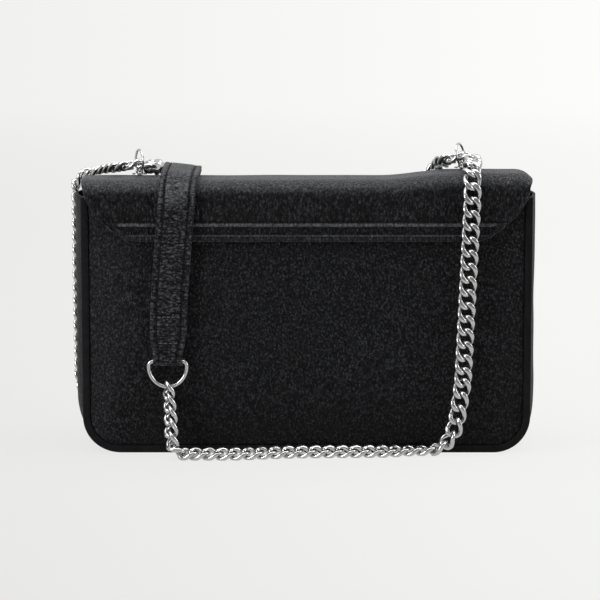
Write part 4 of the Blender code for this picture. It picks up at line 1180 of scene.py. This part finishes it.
make_chain("floor_front", "front_chain", run)
make_chain("riser_front", "front_chain", [
    run[-1],
    (foot_x - turn_r / 3, front_y - fit, turn_r / 2, (-1, 1, 1)),
    (foot_x, (front_y + strap_front_y) / 2, 1.5 * turn_r, HALF_OPEN),
    (foot_x, strap_front_y, d_hook + 0.8 * MM, HALF_OPEN),
], last=open_end)


# Thread


def strap_thread(count, rows, outs, sides, halves):
    """The two stitched grooves of the strap, over its first rows."""
    rows, outs, halves = rows[:count], outs[:count], halves[:count, None]
    lines = [rows + sides * (way * (halves - strap_groove)) - outs * (0.52 * MM) for way in (-1, 1)]
    return merge([stitches(line, outs, 3.4 * MM, 0.78, 0.5 * MM) for line in lines])


legs = strap_thread(len(back_rows) // 2 - 12, back_rows, back_out, np.array(ALONG_X), back_half)
dress(add("thread_strap_back", *legs), THREAD, "back_strap")
count = len(crown) + 50
tops = strap_thread(count, top_rows, top_out, top_sides[:count], top_half)
dress(add("thread_strap_top", *tops), THREAD, "flap")
cross_rows = []
for row_z in (0.0761, 0.0617):
    reach = strap_half_at(row_z) - 3.6 * MM
    line = xyz(back_x(row_z) + reach * np.array([-1, 0, 1]), strap_back_y - strap_thick / 2 - 0.05 * MM, row_z)
    cross_rows.append(stitches(line, np.tile((0, -1.0, 0), (3, 1)), 2.5 * MM, 0.74, 0.5 * MM))
dress(add("thread_strap_cross", *merge(cross_rows)), GREY_THREAD, "back_strap")

rim_row = 3.75 * MM
path = u_path(half_width - rim_row, rim_row, body_height - 2 * MM, corner_radius - rim_row)
bag_rows = []
for facing in (-1, 1):
    line = path + np.array((0, facing * (half_depth - 0.35 * MM), 0))
    bag_rows.append(stitches(line, np.tile((0, facing, 0.0), (len(path), 1)), 3.8 * MM, 0.72, 0.42 * MM))
dress(skewed(add("thread_bag", *merge(bag_rows))), THREAD, "bag")


# Stage


def rays(tree):
    ray = node(tree, "LightPath")
    return [ray["Is %s Ray" % kind] for kind in ("Camera", "Transmission", "Glossy")]


# A floor that bends up far behind; the camera sees it as a bright sweep with a painted light falloff, and reflections
# see it dimmer towards the camera (painted shade)
mat, tree = new_material("studio_floor")
shade_with(tree, Base_Color=(0.8, 0.8, 0.79, 1), Roughness=0.9, Specular_IOR_Level=0.1)
camera_ray, through, glossy = rays(tree)
place = node(tree, "SeparateXYZ", node(tree, "TexCoord")["Object"])
x, y = place["X"], place["Y"]
# Brighter towards the back and to the right: painted light falloff.
level = ramp(mapped(y, -0.4, 3.6), WHITE, (0.015, 0.832), (0.245, 0.89), (0.9, 0.995))
level = level + (x / (y + 1.6).at_least(0.5) * 0.46).at_least(-0.07).at_most(0.07)
# Reflections see the glow dimmed towards the camera side: painted shade in reflections.
bright = camera_ray.at_least(through).at_least(mapped(y, -0.75, -0.3, 0.1, 0.8))
glow = node(tree, "Emission", Color=(1.0, 1.0, 0.985, 1), Strength=bright * level)
seen = camera_ray.at_least(glossy).at_least(through)
shader = Output(tree, tree.nodes["Principled BSDF"].outputs[0])
mixed = node(tree, "MixShader", seen * 0.92, shader, glow)
feed(tree, tree.nodes["Material Output"], {"Surface": mixed})
size, bend_y, bend_radius = 6.0, 3.0, 1.2
rows = [(y, 0.0) for y in np.linspace(-size, bend_y, 10)]
rows += arc_at(bend_y, bend_radius, bend_radius, -1, 0, 12)[1:]
rows += [(bend_y + bend_radius, z) for z in (2.0, 4.0, 6.0)]
verts = [(x, y, z - 0.0002) for y, z in rows for x in (-size, size)]
faces = [(2 * i, 2 * i + 1, 2 * i + 3, 2 * i + 2) for i in range(len(rows) - 1)]
floor = add("studio_floor", verts, faces)
floor.data.materials.append(mat)

world = bpy.data.worlds.new("studio")
SCENE.world = world
world.use_nodes = True
tree = world.node_tree
camera_ray, through, glossy = rays(tree)
place = node(tree, "SeparateXYZ", node(tree, "TexCoord")["Generated"])
behind = mapped(place["Y"], -0.6, 0.8, 0.1, 0.75)
strength = 0.2 + camera_ray.at_least(through) * 0.72 + glossy * behind
feed(tree, tree.nodes["Background"], {"Color": (0.98, 0.985, 1.0, 1), "Strength": strength})

for name, place, target, width, height, power in (
    ("top_box", (0.0, 0.1, 1.25), (0, 0.02, 0.08), 1.5, 1.05, 17.0),
    ("left_box", (-0.72, -0.5, 0.46), (-0.02, 0, 0.09), 0.35, 0.5, 4.6),
    ("right_box", (1.2, -0.45, 0.6), (0, 0, 0.08), 0.4, 0.7, 4.5),
):
    data = bpy.data.lights.new(name, "AREA")
    data.energy, data.shape, data.size, data.size_y = power, "RECTANGLE", width, height
    lamp = put(name, data)
    lamp.location = place
    lamp.rotation_euler = (Vector(target) - Vector(place)).to_track_quat("-Z", "Y").to_euler()

SCENE.view_settings.view_transform = "Standard"
